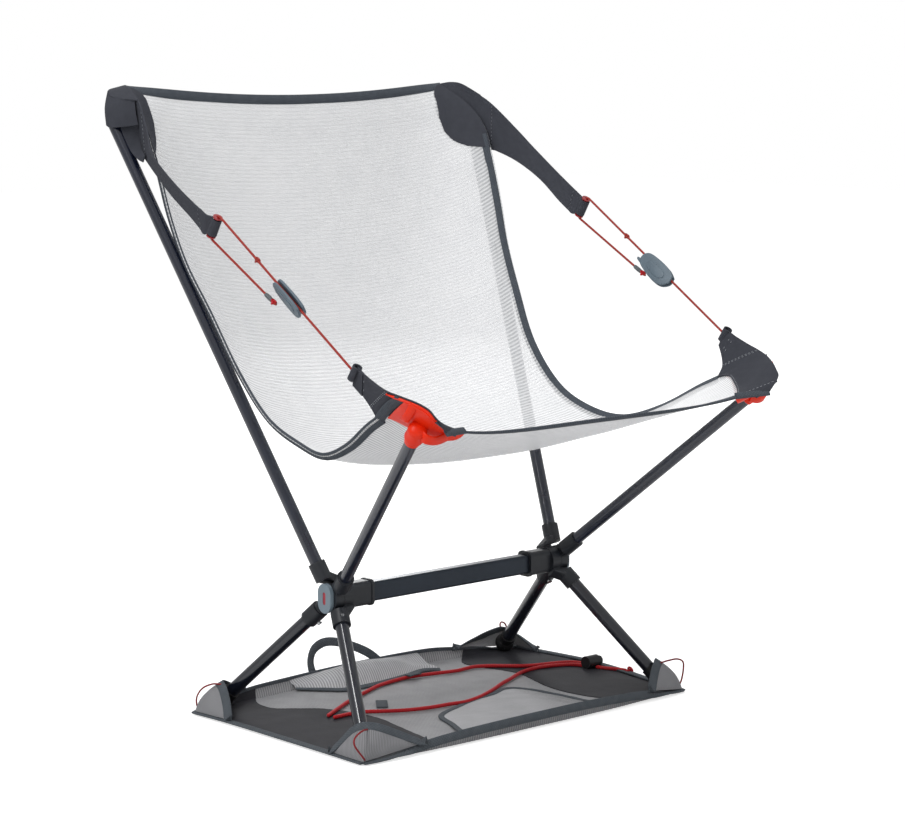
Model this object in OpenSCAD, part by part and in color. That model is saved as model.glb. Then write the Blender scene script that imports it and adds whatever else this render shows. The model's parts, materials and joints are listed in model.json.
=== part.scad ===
// Ultralight backpacking chair: two hubs on a crossbar, four pairs of poles, a mesh sling and a ground sheet.
// The chair faces -Y, +X is the sitter's left, and Z = 0 is the floor.

/* [Frame] */
// Height of the pivot axis above the floor
hub_h = 131.6; // [125:0.1:140]
// Distance of the pivot axis behind the origin
hub_y = -13; // [-20:0.5:-8]
// Sideways distance of the seat-pole and front-leg axes where they meet the pivot axis
inner_x = 149; // [146:0.5:151]
// Sideways distance of the back-pole and rear-leg axes where they meet the pivot axis
outer_x = 154.5; // [153:0.5:157]
// Outer diameter of the seat and back poles
pole_d = 12.7; // [12:0.1:13]
// Outer diameter of the legs
leg_d = 13.7; // [13:0.1:14]
// Wall thickness of every pole and leg
tube_wall = 0.9; // [0.7:0.1:1.2]
// Length of a back pole from the pivot axis
back_len = 532; // [526:1:545]
// Length of a seat pole from the pivot axis
seat_len = 290; // [286:1:292]
// Distance from the pivot axis to the joint in a back pole
back_joint = 270; // [240:5:300]
// Rise of the back pole above level
back_rise = 63; // [60:0.5:65]
// Rise of the seat pole above level
seat_rise = 42.3; // [41:0.1:44]
// Fall of the rear leg below level
rear_fall = 43.5; // [42:0.5:45]
// Fall of the front leg below level
front_fall = 48.3; // [47:0.1:50]
// Outward lean of the back pole
back_splay = 9.7; // [9:0.1:10]
// Outward lean of the seat pole
seat_splay = 15.5; // [15:0.1:16]
// Outward lean of the rear leg
rear_splay = 13.6; // [13:0.1:14]
// Outward lean of the front leg
front_splay = 18.5; // [18:0.1:19]

/* [Hubs] */
// Outer diameter of the pole collars
collar_d = 17.4; // [16.8:0.1:18]
// Distance from the pivot axis to a collar's inner end
collar_in = 19; // [18:0.5:21]
// Distance from the pivot axis to a collar's mouth
collar_out = 38; // [34:1:42]
// Diameter of the knuckle rings
ring_d = 28; // [26:0.5:29]
// Diameter of the pivot pins
pin_d = 8; // [6:0.5:9]
// Radial clearance of the moving ring on its pin
pin_gap = 0.05; // [0.02:0.01:0.1]
// Height of the crossbar
bar_h = 20; // [18:0.5:21]
// Depth of the crossbar
bar_t = 14; // [12:0.5:15]

/* [Feet] */
// Diameter of the rubber ball feet
ball_d = 21; // [19:0.5:22]
// Clearance between a ball foot and the ground sheet
foot_gap = 0.3; // [0.2:0.1:0.6]

/* [Arms] */
// Sideways distance of the arm cords
arm_x = 250; // [248:0.5:252]
// Diameter of the thin adjusting cord
cord_d = 2.4; // [2:0.1:3]

/* [Ground sheet] */
// Half of the sheet's width
sheet_x = 234; // [233:1:238]
// Front edge of the sheet, ahead of the pivot axis
sheet_front = 143; // [142:1:150]
// Rear edge of the sheet, behind the pivot axis
sheet_rear = 157; // [157:1:165]
// Height of the upturned edge
sheet_lip = 12; // [8:1:14]
// Thickness of the sheet
sheet_t = 1; // [0.8:0.1:1.2]

/* [Hidden] */
$fn = 48;

hub_core = pole_d / 2 + 0.05;    // bore radius of a pole collar
leg_core = leg_d / 2 + 0.05;     // bore radius of a leg collar
pole_start = collar_in + 3;      // a pole bottoms here in its collar
pin_r = pin_d / 2;
ring_inner = [137.5, 149.6];     // X range of the fixed knuckle ring
ring_outer = [150, 160.4];       // X range of the moving knuckle ring
socket_x = [108, 137.5];         // X range of the crossbar socket
cap_x = [160.8, 165];            // X range of the hub cap
foot_z = sheet_t + foot_gap + ball_d / 2;
foot_drop = hub_h - foot_z;
tip_plug = 4;                    // length of a pole's end plug outside the tube
ferrule_len = 60;

function at(x, y, z) = [x, y + hub_y, z];
function way(rise, splay, ahead) =
    [sin(splay), (ahead ? -1 : 1) * cos(splay) * cos(rise), cos(splay) * sin(rise)];
function unit(v) = v / norm(v);

back_hub = at(outer_x, 0, hub_h);
seat_hub = at(inner_x, 0, hub_h);
back_way = way(back_rise, back_splay, false);
seat_way = way(seat_rise, seat_splay, true);
rear_way = way(-rear_fall, rear_splay, false);
front_way = way(-front_fall, front_splay, true);
rear_len = -foot_drop / rear_way[2];
front_len = -foot_drop / front_way[2];
rear_foot = back_hub + rear_len * rear_way;
front_foot = seat_hub + front_len * front_way;

// Arm cord: from the tab at the seat corner, down through the tube at the end of the wing strap,
// and back to the tail of the adjuster
tab_end = at(arm_x, -150, 380);
tube_mid = at(arm_x, 60, 502);
tube_len = 23;
tube_tilt = 31;                  // the tube stands square to the cord
tube_up = [0, -sin(tube_tilt), cos(tube_tilt)];
tube_r = 3;
tube_bore = 1.6;
turn_out = 1.8;                  // how far the cord stands out of the tube before it turns
main_end = tube_mid + (tube_len / 2 + turn_out) * tube_up;
return_end = tube_mid - (tube_len / 2 + turn_out) * tube_up;
adjuster_tail = at(arm_x, -36, 433);
cord_way = unit(main_end - tab_end);
cord_down = [0, cord_way[2], -cord_way[1]];
cord_run = norm(main_end - tab_end);
adjuster_mid = 112;              // distance of the adjuster from the tab, along the cord
knot_at = 170;                   // distance of the stopper knot from the tab, along the cord

// Sling: points of the side edge, from the top hem to the front hem, and of the centre line beside them
edge_line = [
    [214, 255, 633], [226, 222, 612], [230, 198, 588], [229, 182, 552], [227, 166, 505], [221, 148, 458],
    [212, 120, 410], [204, 86, 354], [201, 42, 310], [200, -8, 290], [206, -52, 285], [216, -100, 301],
    [228, -148, 328], [234, -188, 344], [226, -220, 336]
];
centre_line = [
    [0, 255, 620], [0, 250, 598], [0, 246, 574], [0, 238, 540], [0, 229, 502], [0, 216, 455],
    [0, 199, 400], [0, 176, 342], [0, 142, 290], [0, 84, 256], [0, 8, 253], [0, -68, 266],
    [0, -136, 284], [0, -184, 302], [0, -216, 318]
];
across = 12;                     // facets across the sling
sling_t = 2;
stations = len(edge_line);

module side(s) { mirror([s < 0 ? 1 : 0, 0, 0]) children(); }
module pair() { for (s = [-1, 1]) side(s) children(); }
module aim(p, d) { translate(p) rotate([0, acos(d[2]), atan2(d[1], d[0])]) children(); }

module rod(p, d, from, to, dia) { aim(p + from * d, d) cylinder(h = to - from, d = dia); }
module pipe(p, d, from, to, dia) {
    difference() {
        rod(p, d, from, to, dia);
        rod(p, d, from - 1, to + 1, dia - 2 * tube_wall);
    }
}

// A tube swept along points, with a ring of n corners at each one
function ahead_at(pts, k) = unit(pts[min(k + 1, len(pts) - 1)] - pts[max(k - 1, 0)]);
function ring_at(p, t, r, n) =
    let (a = abs(t[2]) > 0.9 ? [1, 0, 0] : [0, 0, 1], u = unit(cross(t, a)), v = cross(t, u))
    [for (i = [0 : n - 1]) p + r * (cos(360 * i / n) * u + sin(360 * i / n) * v)];
module sweep(pts, r, n = 8) {
    last = len(pts) - 1;
    polyhedron(
        points = [for (k = [0 : last]) each ring_at(pts[k], ahead_at(pts, k), r, n)],
        faces = concat(
            [[for (i = [0 : n - 1]) i]],
            [for (k = [0 : last - 1], i = [0 : n - 1])
                [k * n + i, (k + 1) * n + i, (k + 1) * n + (i + 1) % n, k * n + (i + 1) % n]],
            [[for (i = [n - 1 : -1 : 0]) last * n + i]]
        )
    );
}

// ---- Hubs ----

// Arm of a knuckle ring: a bar out of the ring, then a fairing to the collar
module web(xr, p, d) {
    turn = atan2(d[2], d[1]);
    inset = 0.4;
    translate(at(0, 0, hub_h)) rotate([turn, 0, 0])
        translate([xr[0] + inset, pin_r + 2, -5]) cube([xr[1] - xr[0] - 2 * inset, ring_d / 2 - pin_r, 10]);
    hull() {
        translate(at(0, 0, hub_h)) rotate([turn, 0, 0])
            translate([xr[0], ring_d / 2 + 0.6, -6]) cube([xr[1] - xr[0], 2.4, 12]);
        aim(p + (collar_in + 1) * d, d) cylinder(h = 5, d = collar_d - 1.6, $fn = 32);
    }
}
module knuckle(xr) {
    translate(at(xr[0], 0, hub_h)) rotate([0, 90, 0]) cylinder(h = xr[1] - xr[0], d = ring_d);
}
module pin_bore(xr, r) {
    translate(at(xr[0] - 1, 0, hub_h)) rotate([0, 90, 0]) cylinder(h = xr[1] - xr[0] + 2, r = r);
}
module soft_square(h, t, r) {
    square([h - 2 * r, t], center = true);
    square([h, t - 2 * r], center = true);
    for (a = [-1, 1], b = [-1, 1]) translate([a * (h / 2 - r), b * (t / 2 - r)]) circle(r = r);
}
module bar_solid(xr, h, t, r) {
    translate(at(xr[0], 0, hub_h)) rotate([0, 90, 0]) linear_extrude(xr[1] - xr[0]) soft_square(h, t, r);
}
module hub_body() {
    color("#25282e") difference() {
        union() {
            knuckle(ring_inner);
            bar_solid([socket_x[0] + 3, socket_x[1]], bar_h + 5, bar_t + 5, 5);
            bar_solid([socket_x[0], socket_x[0] + 3], bar_h + 7, bar_t + 7, 6);
            web(ring_inner, back_hub, back_way);
            web(ring_inner, seat_hub, front_way);
            rod(back_hub, back_way, collar_in, collar_out, collar_d);
            rod(seat_hub, front_way, collar_in, collar_out - 3, collar_d + 1);
        }
        bar_solid([socket_x[0] - 1, socket_x[1] - 3], bar_h + 0.2, bar_t + 0.2, 3.1);
        rod(back_hub, back_way, pole_start, collar_out + 1, 2 * hub_core);
        rod(seat_hub, front_way, pole_start, collar_out + 1, 2 * leg_core);
        pin_bore(ring_inner, pin_r + 0.02);
        rivet(1.7, 3);
    }
}
module rivet(r, h) {
    aim(seat_hub + 28 * front_way, front_way) rotate([0, 0, 180])
        translate([collar_d / 2 - 1, 0, 0]) rotate([0, 90, 0]) cylinder(h = h, r = r);
}
module hub_arm() {
    color("#2b2e34") difference() {
        union() {
            knuckle(ring_outer);
            web(ring_outer, seat_hub, seat_way);
            web(ring_outer, back_hub, rear_way);
            rod(seat_hub, seat_way, collar_in, collar_out, collar_d);
            rod(back_hub, rear_way, collar_in, collar_out, collar_d + 1);
        }
        rod(seat_hub, seat_way, pole_start, collar_out + 1, 2 * hub_core);
        rod(back_hub, rear_way, pole_start, collar_out + 1, 2 * leg_core);
        pin_bore(ring_outer, pin_r + pin_gap);
        screw_shape(1.75, 3);
    }
}
module screw_shape(r, h) {
    aim(back_hub + 30 * rear_way, rear_way) translate([collar_d / 2 - 1, 0, 0]) rotate([0, 90, 0])
        cylinder(h = h, r = r);
}
module screw() {
    color("silver") {
        screw_shape(1.7, 2.4);
        aim(back_hub + 30 * rear_way, rear_way) translate([collar_d / 2 + 1.4, 0, 0]) rotate([0, 90, 0])
            cylinder(h = 1.4, r = 2.6);
    }
}
module pivot_pin() {
    color("silver") translate(at(ring_inner[0], 0, hub_h)) rotate([0, 90, 0])
        cylinder(h = cap_x[0] + 1.2 - ring_inner[0], r = pin_r);
}
module oval(h, w) {
    translate([0, (h - w) / 2]) circle(d = w);
    translate([0, (w - h) / 2]) circle(d = w);
    square([w, h - w], center = true);
}
module cap_at(x, depth) {
    translate(at(x, 0, hub_h)) rotate([90, 0, 90]) linear_extrude(depth) children();
}
module hub_cap() {
    color("#7b8a93") difference() {
        cap_at(cap_x[0], cap_x[1] - cap_x[0]) oval(30, 20);
        pin_bore([cap_x[0], cap_x[0] + 0.2], pin_r + 0.02);
        cap_at(cap_x[1] - 2.4, 3) oval(13, 4.4);
    }
}
module cap_insert() {
    color("#a03040") cap_at(cap_x[1] - 2.4, 2) oval(12.8, 4.2);
}
module crossbar() {
    color("#2f3640") difference() {
        bar_solid([3 - socket_x[1], socket_x[1] - 3], bar_h, bar_t, 3);
        bar_solid([-socket_x[1], socket_x[1]], bar_h - 2.4, bar_t - 2.4, 1.8);
    }
}

// ---- Poles and legs ----

module back_pole_lower() { color("#20252f") pipe(back_hub, back_way, pole_start, back_joint, pole_d); }
module back_pole_upper() {
    color("#20252f") pipe(back_hub, back_way, back_joint, back_len - tip_plug, pole_d);
}
module pole_ferrule() {
    half = ferrule_len / 2;
    color("silver") difference() {
        rod(back_hub, back_way, back_joint - half, back_joint + half, pole_d - 2 * tube_wall - 0.1);
        rod(back_hub, back_way, back_joint - half - 1, back_joint + half + 1, pole_d - 4 * tube_wall);
    }
}
module pole_tip(p, d, len) {
    color("#55585c") {
        rod(p, d, len - tip_plug - 16, len - tip_plug, pole_d - 2 * tube_wall - 0.1);
        rod(p, d, len - tip_plug, len, pole_d);
    }
}
module shock_cord(p, d, len) { color("#c8c8c8") rod(p, d, pole_start, len - tip_plug - 16, 2.6); }
module seat_pole() { color("#20252f") pipe(seat_hub, seat_way, pole_start, seat_len - tip_plug, pole_d); }
module leg(p, d, len) { color("#1c2230") pipe(p, d, pole_start, len - 5, leg_d); }
module foot(p, d, len) {
    color("#1a1a1b") difference() {
        union() {
            translate(p + len * d) sphere(d = ball_d);
            rod(p, d, len - 15, len, leg_d + 3.2);
        }
        rod(p, d, len - 20, len - 5, 2 * leg_core);
    }
}

// ---- Wing strap, tube and cords ----

wing_outline = [
    [244, 633], [206, 607], [144, 567], [70, 517], [63, 511], [74, 494], [84, 500], [130, 530], [193, 562],
    [232, 574]
];
module wing_strap() {
    hem_len = tube_len - 5;
    hem_low = tube_mid - hem_len / 2 * tube_up;
    color("#3f4048") difference() {
        union() {
            translate([arm_x - 1.1, hub_y, 0]) rotate([90, 0, 90]) linear_extrude(2.2) polygon(wing_outline);
            rod(back_hub, back_way, back_len - 48, back_len + 2.4, pole_d + 4.4);
            aim(hem_low, tube_up) cylinder(h = hem_len, r = tube_r + 1.6);
            hull() {
                aim(hem_low, tube_up) cylinder(h = hem_len, r = 1.1, $fn = 32);
                aim(hem_low + [0, 12, 7], tube_up) cylinder(h = hem_len, r = 1.1, $fn = 32);
            }
        }
        rod(back_hub, back_way, back_len - 50, back_len + 0.2, pole_d + 0.4);
        aim(tube_mid - tube_len * tube_up, tube_up) cylinder(h = 2 * tube_len, r = tube_r + 0.1);
    }
}
module strap_tube() {
    flange = 1.4;
    low = tube_mid - tube_len / 2 * tube_up;
    color("#c81420") difference() {
        union() {
            aim(low, tube_up) cylinder(h = tube_len, r = tube_r);
            aim(low, tube_up) cylinder(h = flange, r = tube_r + 1.8);
            aim(low + (tube_len - flange) * tube_up, tube_up) cylinder(h = flange, r = tube_r + 1.8);
        }
        aim(low - tube_up, tube_up) cylinder(h = tube_len + 2, r = tube_bore);
    }
}
return_way = unit(return_end - adjuster_tail);
return_run = norm(return_end - adjuster_tail);
sleeve_run = [7.2, 17];          // stretch of the return strand inside its sleeve
adjuster_half = 21;
knot_r = 3.2;
module arm_cord() {
    color("#b0392f") {
        rod(tab_end, cord_way, 4, adjuster_mid - adjuster_half, cord_d);
        rod(tab_end, cord_way, adjuster_mid + adjuster_half, knot_at - knot_r, cord_d);
        rod(tab_end, cord_way, knot_at + knot_r, cord_run - 2, cord_d);
        rod(tube_mid, tube_up, -tube_len / 2, tube_len / 2, cord_d);
        rod(adjuster_tail, return_way, sleeve_run[1], return_run - 2, cord_d);
    }
}
module stopper_knot() { color("#b0392f") translate(tab_end + knot_at * cord_way) sphere(r = knot_r); }
module cord_sleeve() {
    color("#9a9a9a") rod(adjuster_tail, return_way, sleeve_run[0], sleeve_run[1], 4);
    color("#c81420") translate(adjuster_tail + (sleeve_run[0] - knot_r) * return_way) sphere(r = knot_r);
}

// Adjuster: two plates joined by a bridge, in the cord's own direction
adjuster_shape = [
    [-22, -3], [-20, 6], [-14, 14], [-4, 15], [8, 8], [18, 8], [22, 12], [24, 8], [20, 0], [14, -4], [-16, -5]
];
plate_gap = 3.2;
adjuster_w = 9;
module adjuster_frame() {
    translate(tab_end + adjuster_mid * cord_way) rotate([90, 0, 90])
        rotate([0, 0, atan2(cord_way[2], cord_way[1])]) mirror([0, 1, 0]) children();
}
module adjuster() {
    color("#5f6f7a") difference() {
        adjuster_frame() translate([0, 0, -adjuster_w / 2])
            linear_extrude(adjuster_w) polygon(adjuster_shape);
        adjuster_frame() translate([-30, -10, -plate_gap / 2]) cube([38, 40, plate_gap]);
        rod(tab_end, cord_way, adjuster_mid - 40, adjuster_mid + 40, cord_d + 0.8);
    }
}

// ---- Seat corners ----

corner_outline = [
    [-146, 377], [-152, 384], [-176, 379], [-204, 367], [-228, 352], [-232, 338], [-222, 329],
    [-190, 327], [-172, 331], [-160, 350], [-150, 368]
];
module seat_corner() {
    color("#3f4048") {
        translate([arm_x - 8.4, hub_y, 0]) rotate([90, 0, 90]) linear_extrude(2) polygon(corner_outline);
        hull() {
            translate([arm_x - 8.4, hub_y - 158, 376]) rotate([0, 90, 0]) cylinder(h = 2, r = 5, $fn = 32);
            translate(tab_end - 4 * cord_way) aim([0, 0, 0], cord_way) cylinder(h = 8, r = 3, $fn = 32);
        }
    }
}
pocket_from = seat_len - 30;
module pole_pocket() {
    color("#f2330b") difference() {
        union() {
            rod(seat_hub, seat_way, pocket_from, seat_len + 3, pole_d + 5);
            hull() {
                rod(seat_hub, seat_way, pocket_from + 8, pocket_from + 10, 15);
                translate(at(196, -222, 322)) sphere(r = 3, $fn = 24);
            }
            hull() {
                rod(seat_hub, seat_way, pocket_from + 8, pocket_from + 10, 15);
                translate(at(238, -180, 326)) sphere(r = 3, $fn = 24);
            }
            hull() {
                rod(seat_hub, seat_way, seat_len - 4, seat_len + 2, 15);
                translate(at(236, -222, 329)) sphere(r = 2.6, $fn = 24);
            }
        }
        rod(seat_hub, seat_way, pocket_from - 1, seat_len + 0.2, 2 * hub_core);
    }
}

// ---- Sling ----

// The backrest stays nearly flat and turns forward close to its sides, and the seat is an even bowl
function curl(i) = max(2, 8 - max(0, i - 2));
function spot(i, j) =
    let (u = 2 * j / across - 1, e = edge_line[i], c = centre_line[i])
    at(e[0] * u, c[1] + (e[1] - c[1]) * pow(abs(u), curl(i)), c[2] + (e[2] - c[2]) * u * u);
function face_way(i, j) =
    let (a = spot(min(i + 1, stations - 1), j) - spot(max(i - 1, 0), j),
         b = spot(i, min(j + 1, across)) - spot(i, max(j - 1, 0)))
    unit(cross(a, b));
function halves(a, b, c, d) = [[a, b, c], [a, c, d]];
module sling() {
    row = across + 1;
    under = stations * row;
    end = (stations - 1) * row;
    color("#e9eaee") polyhedron(
        points = concat(
            [for (i = [0 : stations - 1], j = [0 : across]) spot(i, j) + face_way(i, j) * sling_t / 2],
            [for (i = [0 : stations - 1], j = [0 : across]) spot(i, j) - face_way(i, j) * sling_t / 2]
        ),
        faces = concat(
            [for (i = [0 : stations - 2], j = [0 : across - 1]) let (a = i * row + j)
                each halves(a, a + 1, a + row + 1, a + row)],
            [for (i = [0 : stations - 2], j = [0 : across - 1]) let (a = under + i * row + j)
                each halves(a + row, a + row + 1, a + 1, a)],
            [for (i = [0 : stations - 2]) let (a = i * row)
                each halves(a, a + row, under + a + row, under + a)],
            [for (i = [0 : stations - 2]) let (a = i * row + across)
                each halves(a + row, a, under + a, under + a + row)],
            [for (j = [0 : across - 1]) each halves(j + 1, j, under + j, under + j + 1)],
            [for (j = [0 : across - 1]) let (a = end + j) each halves(a, a + 1, under + a + 1, under + a)]
        )
    );
}
module top_hem() {
    color("#4b5058") sweep([for (j = [1 : across - 1]) spot(0, j) + [0, 1, 4]], 2.4);
}
module front_hem() {
    color("#4b5058") sweep([for (j = [1 : across - 1]) spot(stations - 1, j) + [0, -4, 0]], 2.4);
}
module side_tape() {
    out = 4;
    color("#4b5058") sweep([for (i = [2 : 11]) let (e = edge_line[i]) at(e[0] + out, e[1], e[2] + 1)], 2.4);
}

// ---- Ground sheet ----

module ground_panel() {
    color("#a9a9a8") difference() {
        translate([-sheet_x, hub_y - sheet_front, 0])
            cube([2 * sheet_x, sheet_front + sheet_rear, sheet_lip]);
        translate([sheet_t - sheet_x, hub_y - sheet_front + sheet_t, sheet_t])
            cube([2 * (sheet_x - sheet_t), sheet_front + sheet_rear - 2 * sheet_t, sheet_lip]);
    }
}
module sheet_binding() {
    wide = 1.6;
    color("#3a3d42") difference() {
        translate([-sheet_x - wide, hub_y - sheet_front - wide, sheet_lip])
            cube([2 * (sheet_x + wide), sheet_front + sheet_rear + 2 * wide, 3]);
        translate([wide + sheet_t - sheet_x, hub_y - sheet_front + wide + sheet_t, 0])
            cube([2 * (sheet_x - wide - sheet_t), sheet_front + sheet_rear - 2 * (wide + sheet_t), 20]);
    }
}
panel_in = 142;                  // inner edge of the dark end panels
module end_panels() {
    color("#2e2e33") pair() difference() {
        translate([panel_in, hub_y - sheet_front + 2, sheet_t])
            cube([sheet_x - panel_in - 2, sheet_front + sheet_rear - 4, 0.8]);
        for (foot_at = [gusset_front, gusset_rear])
            translate([foot_at[0], foot_at[1], 0]) cylinder(h = 5, r = gusset_r + 2.4);
    }
    color("#2e2e33") translate(at(-panel_in - 10, 8, sheet_t + 0.8)) cube([10, 20, 3.4]);
}
gusset_r = 24.4;
gusset_front = front_foot + [3, -5, -foot_z];
gusset_rear = rear_foot + [2, 4, -foot_z];
module shell(p, r_out, r_in) {
    difference() {
        translate(p) sphere(r = r_out);
        translate(p) sphere(r = r_in);
    }
}
module outer_side(p, turn, low, high) {
    translate([p[0], p[1], sheet_t]) rotate([0, 0, turn])
        translate([low, -60, 0]) cube([high - low, 120, 60]);
}
module gusset(p, turn) {
    intersection() {
        shell(p, gusset_r, gusset_r - 0.8);
        outer_side(p, turn, 0, 60);
    }
}
module band(p, turn) {
    intersection() {
        shell(p, gusset_r + 1.5, gusset_r + 0.2);
        outer_side(p, turn, 0, 12);
    }
}
module corner_gussets() {
    color("#c4c4c2") pair() {
        gusset(gusset_front, -45);
        gusset(gusset_rear, 45);
    }
}
module corner_bands() {
    color("#3f4246") pair() {
        band(gusset_front, -45);
        band(gusset_rear, 45);
    }
}
module loop_at(p, turn) {
    translate([p[0], p[1], sheet_lip + 3]) rotate([0, 0, turn]) rotate([90, 0, 0])
        rotate_extrude(angle = 180) translate([7, 0]) circle(r = 1.1);
}
module corner_loops() {
    color("#7a2028") pair() {
        loop_at(at(sheet_x - 14, -sheet_front + 0.6, 0), 0);
        loop_at(at(sheet_x - 14, sheet_rear - 0.6, 0), 0);
    }
}
handle_out = [[-70, 0], [-69, 20], [-60, 31], [-46, 34], [-24, 32], [6, 26], [18, 17], [22, 0]];
handle_in = [[-64, -1], [-63, 18], [-57, 25], [-45, 28], [-25, 26], [3, 20], [12, 14], [16, -1]];
module carry_handle() {
    color("#3a3d42") translate([0, hub_y + sheet_rear + 1, sheet_lip + 3]) rotate([90, 0, 0])
        linear_extrude(2.6) difference() {
            polygon(handle_out);
            polygon(handle_in);
        }
}
module mesh_flap() {
    color("#77777a") translate(at(-82, 104, sheet_t)) cube([176, 50, 0.8]);
}
module front_pocket() {
    color("#8f8f92") translate(at(-62, -sheet_front + 2, sheet_t)) cube([174, 128, 0.8]);
}
upper_run = [
    [-141, 24], [-118, 38], [-95, 52], [-72, 64], [-49, 75], [-22, 87], [4, 93], [30, 95], [56, 90], [85, 83],
    [100, 84], [113, 84], [128, 76], [143, 62], [157, 50], [174, 43], [191, 38], [205, 31], [212, 21],
    [213, 10]
];
lower_run = [
    [-141, 14], [-120, 14], [-103, 10], [-88, 0], [-72, -10], [-54, -17], [-36, -21], [-17, -23], [0, -26],
    [20, -22], [39, -15], [60, -5], [82, 7], [104, 17], [122, 26], [140, 33], [158, 35], [174, 33], [188, 28], [200, 20],
    [206, 10]
];
tail_run = [[212, -6], [214, -14], [218, -22], [222, -30], [224, -38]];
draw_d = 4;
draw_z = 4.2;
module drawcord() {
    color("#c8101e") {
        sweep([for (p = upper_run) at(p[0], p[1], draw_z)], draw_d / 2);
        sweep([for (p = lower_run) at(p[0], p[1], draw_z)], draw_d / 2);
        sweep([for (p = tail_run) at(p[0], p[1], draw_z)], draw_d / 2);
        translate(at(224, -41, draw_z + 1)) sphere(r = 3.2);
    }
}
lock_at = at(202, 2, 9);
lock_len = 17;
lock_floor = 3;
spring_len = 5;
spring_turns = 3;
module lock_part(from, len, r) {
    translate(lock_at + [from, 0, 0]) rotate([0, 90, 0]) cylinder(h = len, r = r);
}
module cord_lock() {
    color("#1d1f22") difference() {
        lock_part(0, lock_len, 7);
        lock_part(lock_floor, lock_len, 5);
    }
}
module lock_button() { color("#1d1f22") lock_part(lock_floor + spring_len, 14, 4.9); }
module lock_spring() {
    coil = [for (k = [0 : 12 * spring_turns]) let (t = k / (12 * spring_turns))
        lock_at + [lock_floor + 0.5 + t * (spring_len - 1), 3.4 * cos(30 * k), 3.4 * sin(30 * k)]];
    color("silver") sweep(coil, 0.4, 6);
}

crossbar();
side(-1) hub_body();  // right_hub
side(1) hub_body();  // left_hub
pair() pivot_pin();  // pivot_pins
pair() hub_cap();  // hub_caps
pair() cap_insert();  // cap_inserts
color("silver") pair() rivet(1.65, 2);  // leg_rivets
side(-1) back_pole_lower();  // right_back_pole_lower
side(1) back_pole_lower();  // left_back_pole_lower
side(-1) back_pole_upper();  // right_back_pole_upper
side(1) back_pole_upper();  // left_back_pole_upper
pair() pole_ferrule();  // pole_ferrules
pair() pole_tip(back_hub, back_way, back_len);  // back_pole_tips
pair() shock_cord(back_hub, back_way, back_len);  // back_shock_cords
side(-1) leg(seat_hub, front_way, front_len);  // right_front_leg
side(1) leg(seat_hub, front_way, front_len);  // left_front_leg
pair() foot(seat_hub, front_way, front_len);  // front_feet
side(-1) wing_strap();  // right_wing_strap
side(1) wing_strap();  // left_wing_strap
side(-1) strap_tube();  // right_strap_tube
side(1) strap_tube();  // left_strap_tube
side(-1) hub_arm();  // right_hub_arm
side(1) hub_arm();  // left_hub_arm
side(-1) seat_pole();  // right_seat_pole
side(1) seat_pole();  // left_seat_pole
pair() pole_tip(seat_hub, seat_way, seat_len);  // seat_pole_tips
pair() shock_cord(seat_hub, seat_way, seat_len);  // seat_shock_cords
side(-1) leg(back_hub, rear_way, rear_len);  // right_rear_leg
side(1) leg(back_hub, rear_way, rear_len);  // left_rear_leg
pair() foot(back_hub, rear_way, rear_len);  // rear_feet
pair() screw();  // leg_screws
side(-1) pole_pocket();  // right_pole_pocket
side(1) pole_pocket();  // left_pole_pocket
side(-1) seat_corner();  // right_seat_corner
side(1) seat_corner();  // left_seat_corner
sling();
top_hem();
front_hem();
pair() side_tape();  // side_tapes
side(-1) adjuster();  // right_adjuster
side(1) adjuster();  // left_adjuster
side(-1) arm_cord();  // right_arm_cord
side(1) arm_cord();  // left_arm_cord
side(-1) cord_sleeve();  // right_cord_sleeve
side(1) cord_sleeve();  // left_cord_sleeve
side(-1) stopper_knot();  // right_stopper_knot
side(1) stopper_knot();  // left_stopper_knot
ground_panel();
sheet_binding();
end_panels();
corner_gussets();
corner_bands();
corner_loops();
carry_handle();
mesh_flap();
front_pocket();
drawcord();
cord_lock();
lock_button();
lock_spring();
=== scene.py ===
import json
import math

import bmesh
import bpy
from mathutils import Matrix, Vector, noise


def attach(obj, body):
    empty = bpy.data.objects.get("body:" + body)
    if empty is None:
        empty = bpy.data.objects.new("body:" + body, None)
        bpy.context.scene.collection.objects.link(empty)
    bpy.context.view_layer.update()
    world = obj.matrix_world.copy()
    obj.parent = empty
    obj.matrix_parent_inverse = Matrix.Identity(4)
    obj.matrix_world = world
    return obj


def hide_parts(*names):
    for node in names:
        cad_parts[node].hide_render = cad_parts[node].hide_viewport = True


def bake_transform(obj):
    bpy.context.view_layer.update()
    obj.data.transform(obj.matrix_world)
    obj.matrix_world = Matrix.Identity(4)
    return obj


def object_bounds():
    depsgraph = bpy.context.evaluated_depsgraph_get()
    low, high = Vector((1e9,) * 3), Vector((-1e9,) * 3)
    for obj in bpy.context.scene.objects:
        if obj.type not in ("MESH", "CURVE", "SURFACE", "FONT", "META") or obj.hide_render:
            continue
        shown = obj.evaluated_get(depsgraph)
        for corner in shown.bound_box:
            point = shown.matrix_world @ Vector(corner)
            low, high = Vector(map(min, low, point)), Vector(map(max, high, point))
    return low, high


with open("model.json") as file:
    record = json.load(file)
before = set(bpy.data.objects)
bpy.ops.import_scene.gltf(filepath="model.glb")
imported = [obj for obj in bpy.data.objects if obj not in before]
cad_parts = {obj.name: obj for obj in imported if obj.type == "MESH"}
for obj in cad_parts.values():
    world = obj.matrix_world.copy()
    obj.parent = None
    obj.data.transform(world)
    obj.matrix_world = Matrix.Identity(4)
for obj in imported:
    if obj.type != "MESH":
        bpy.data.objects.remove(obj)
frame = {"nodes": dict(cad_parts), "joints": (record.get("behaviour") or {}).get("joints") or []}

cadLow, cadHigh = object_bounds()
joints = {j["name"]: j for j in frame["joints"]}
pivot = Vector(joints["recline"]["pos_m"])
cordWay = Vector(joints["left_adjuster_slide"]["axis"])
hands = (("right", -1), ("left", 1))
mm = 0.001


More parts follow.
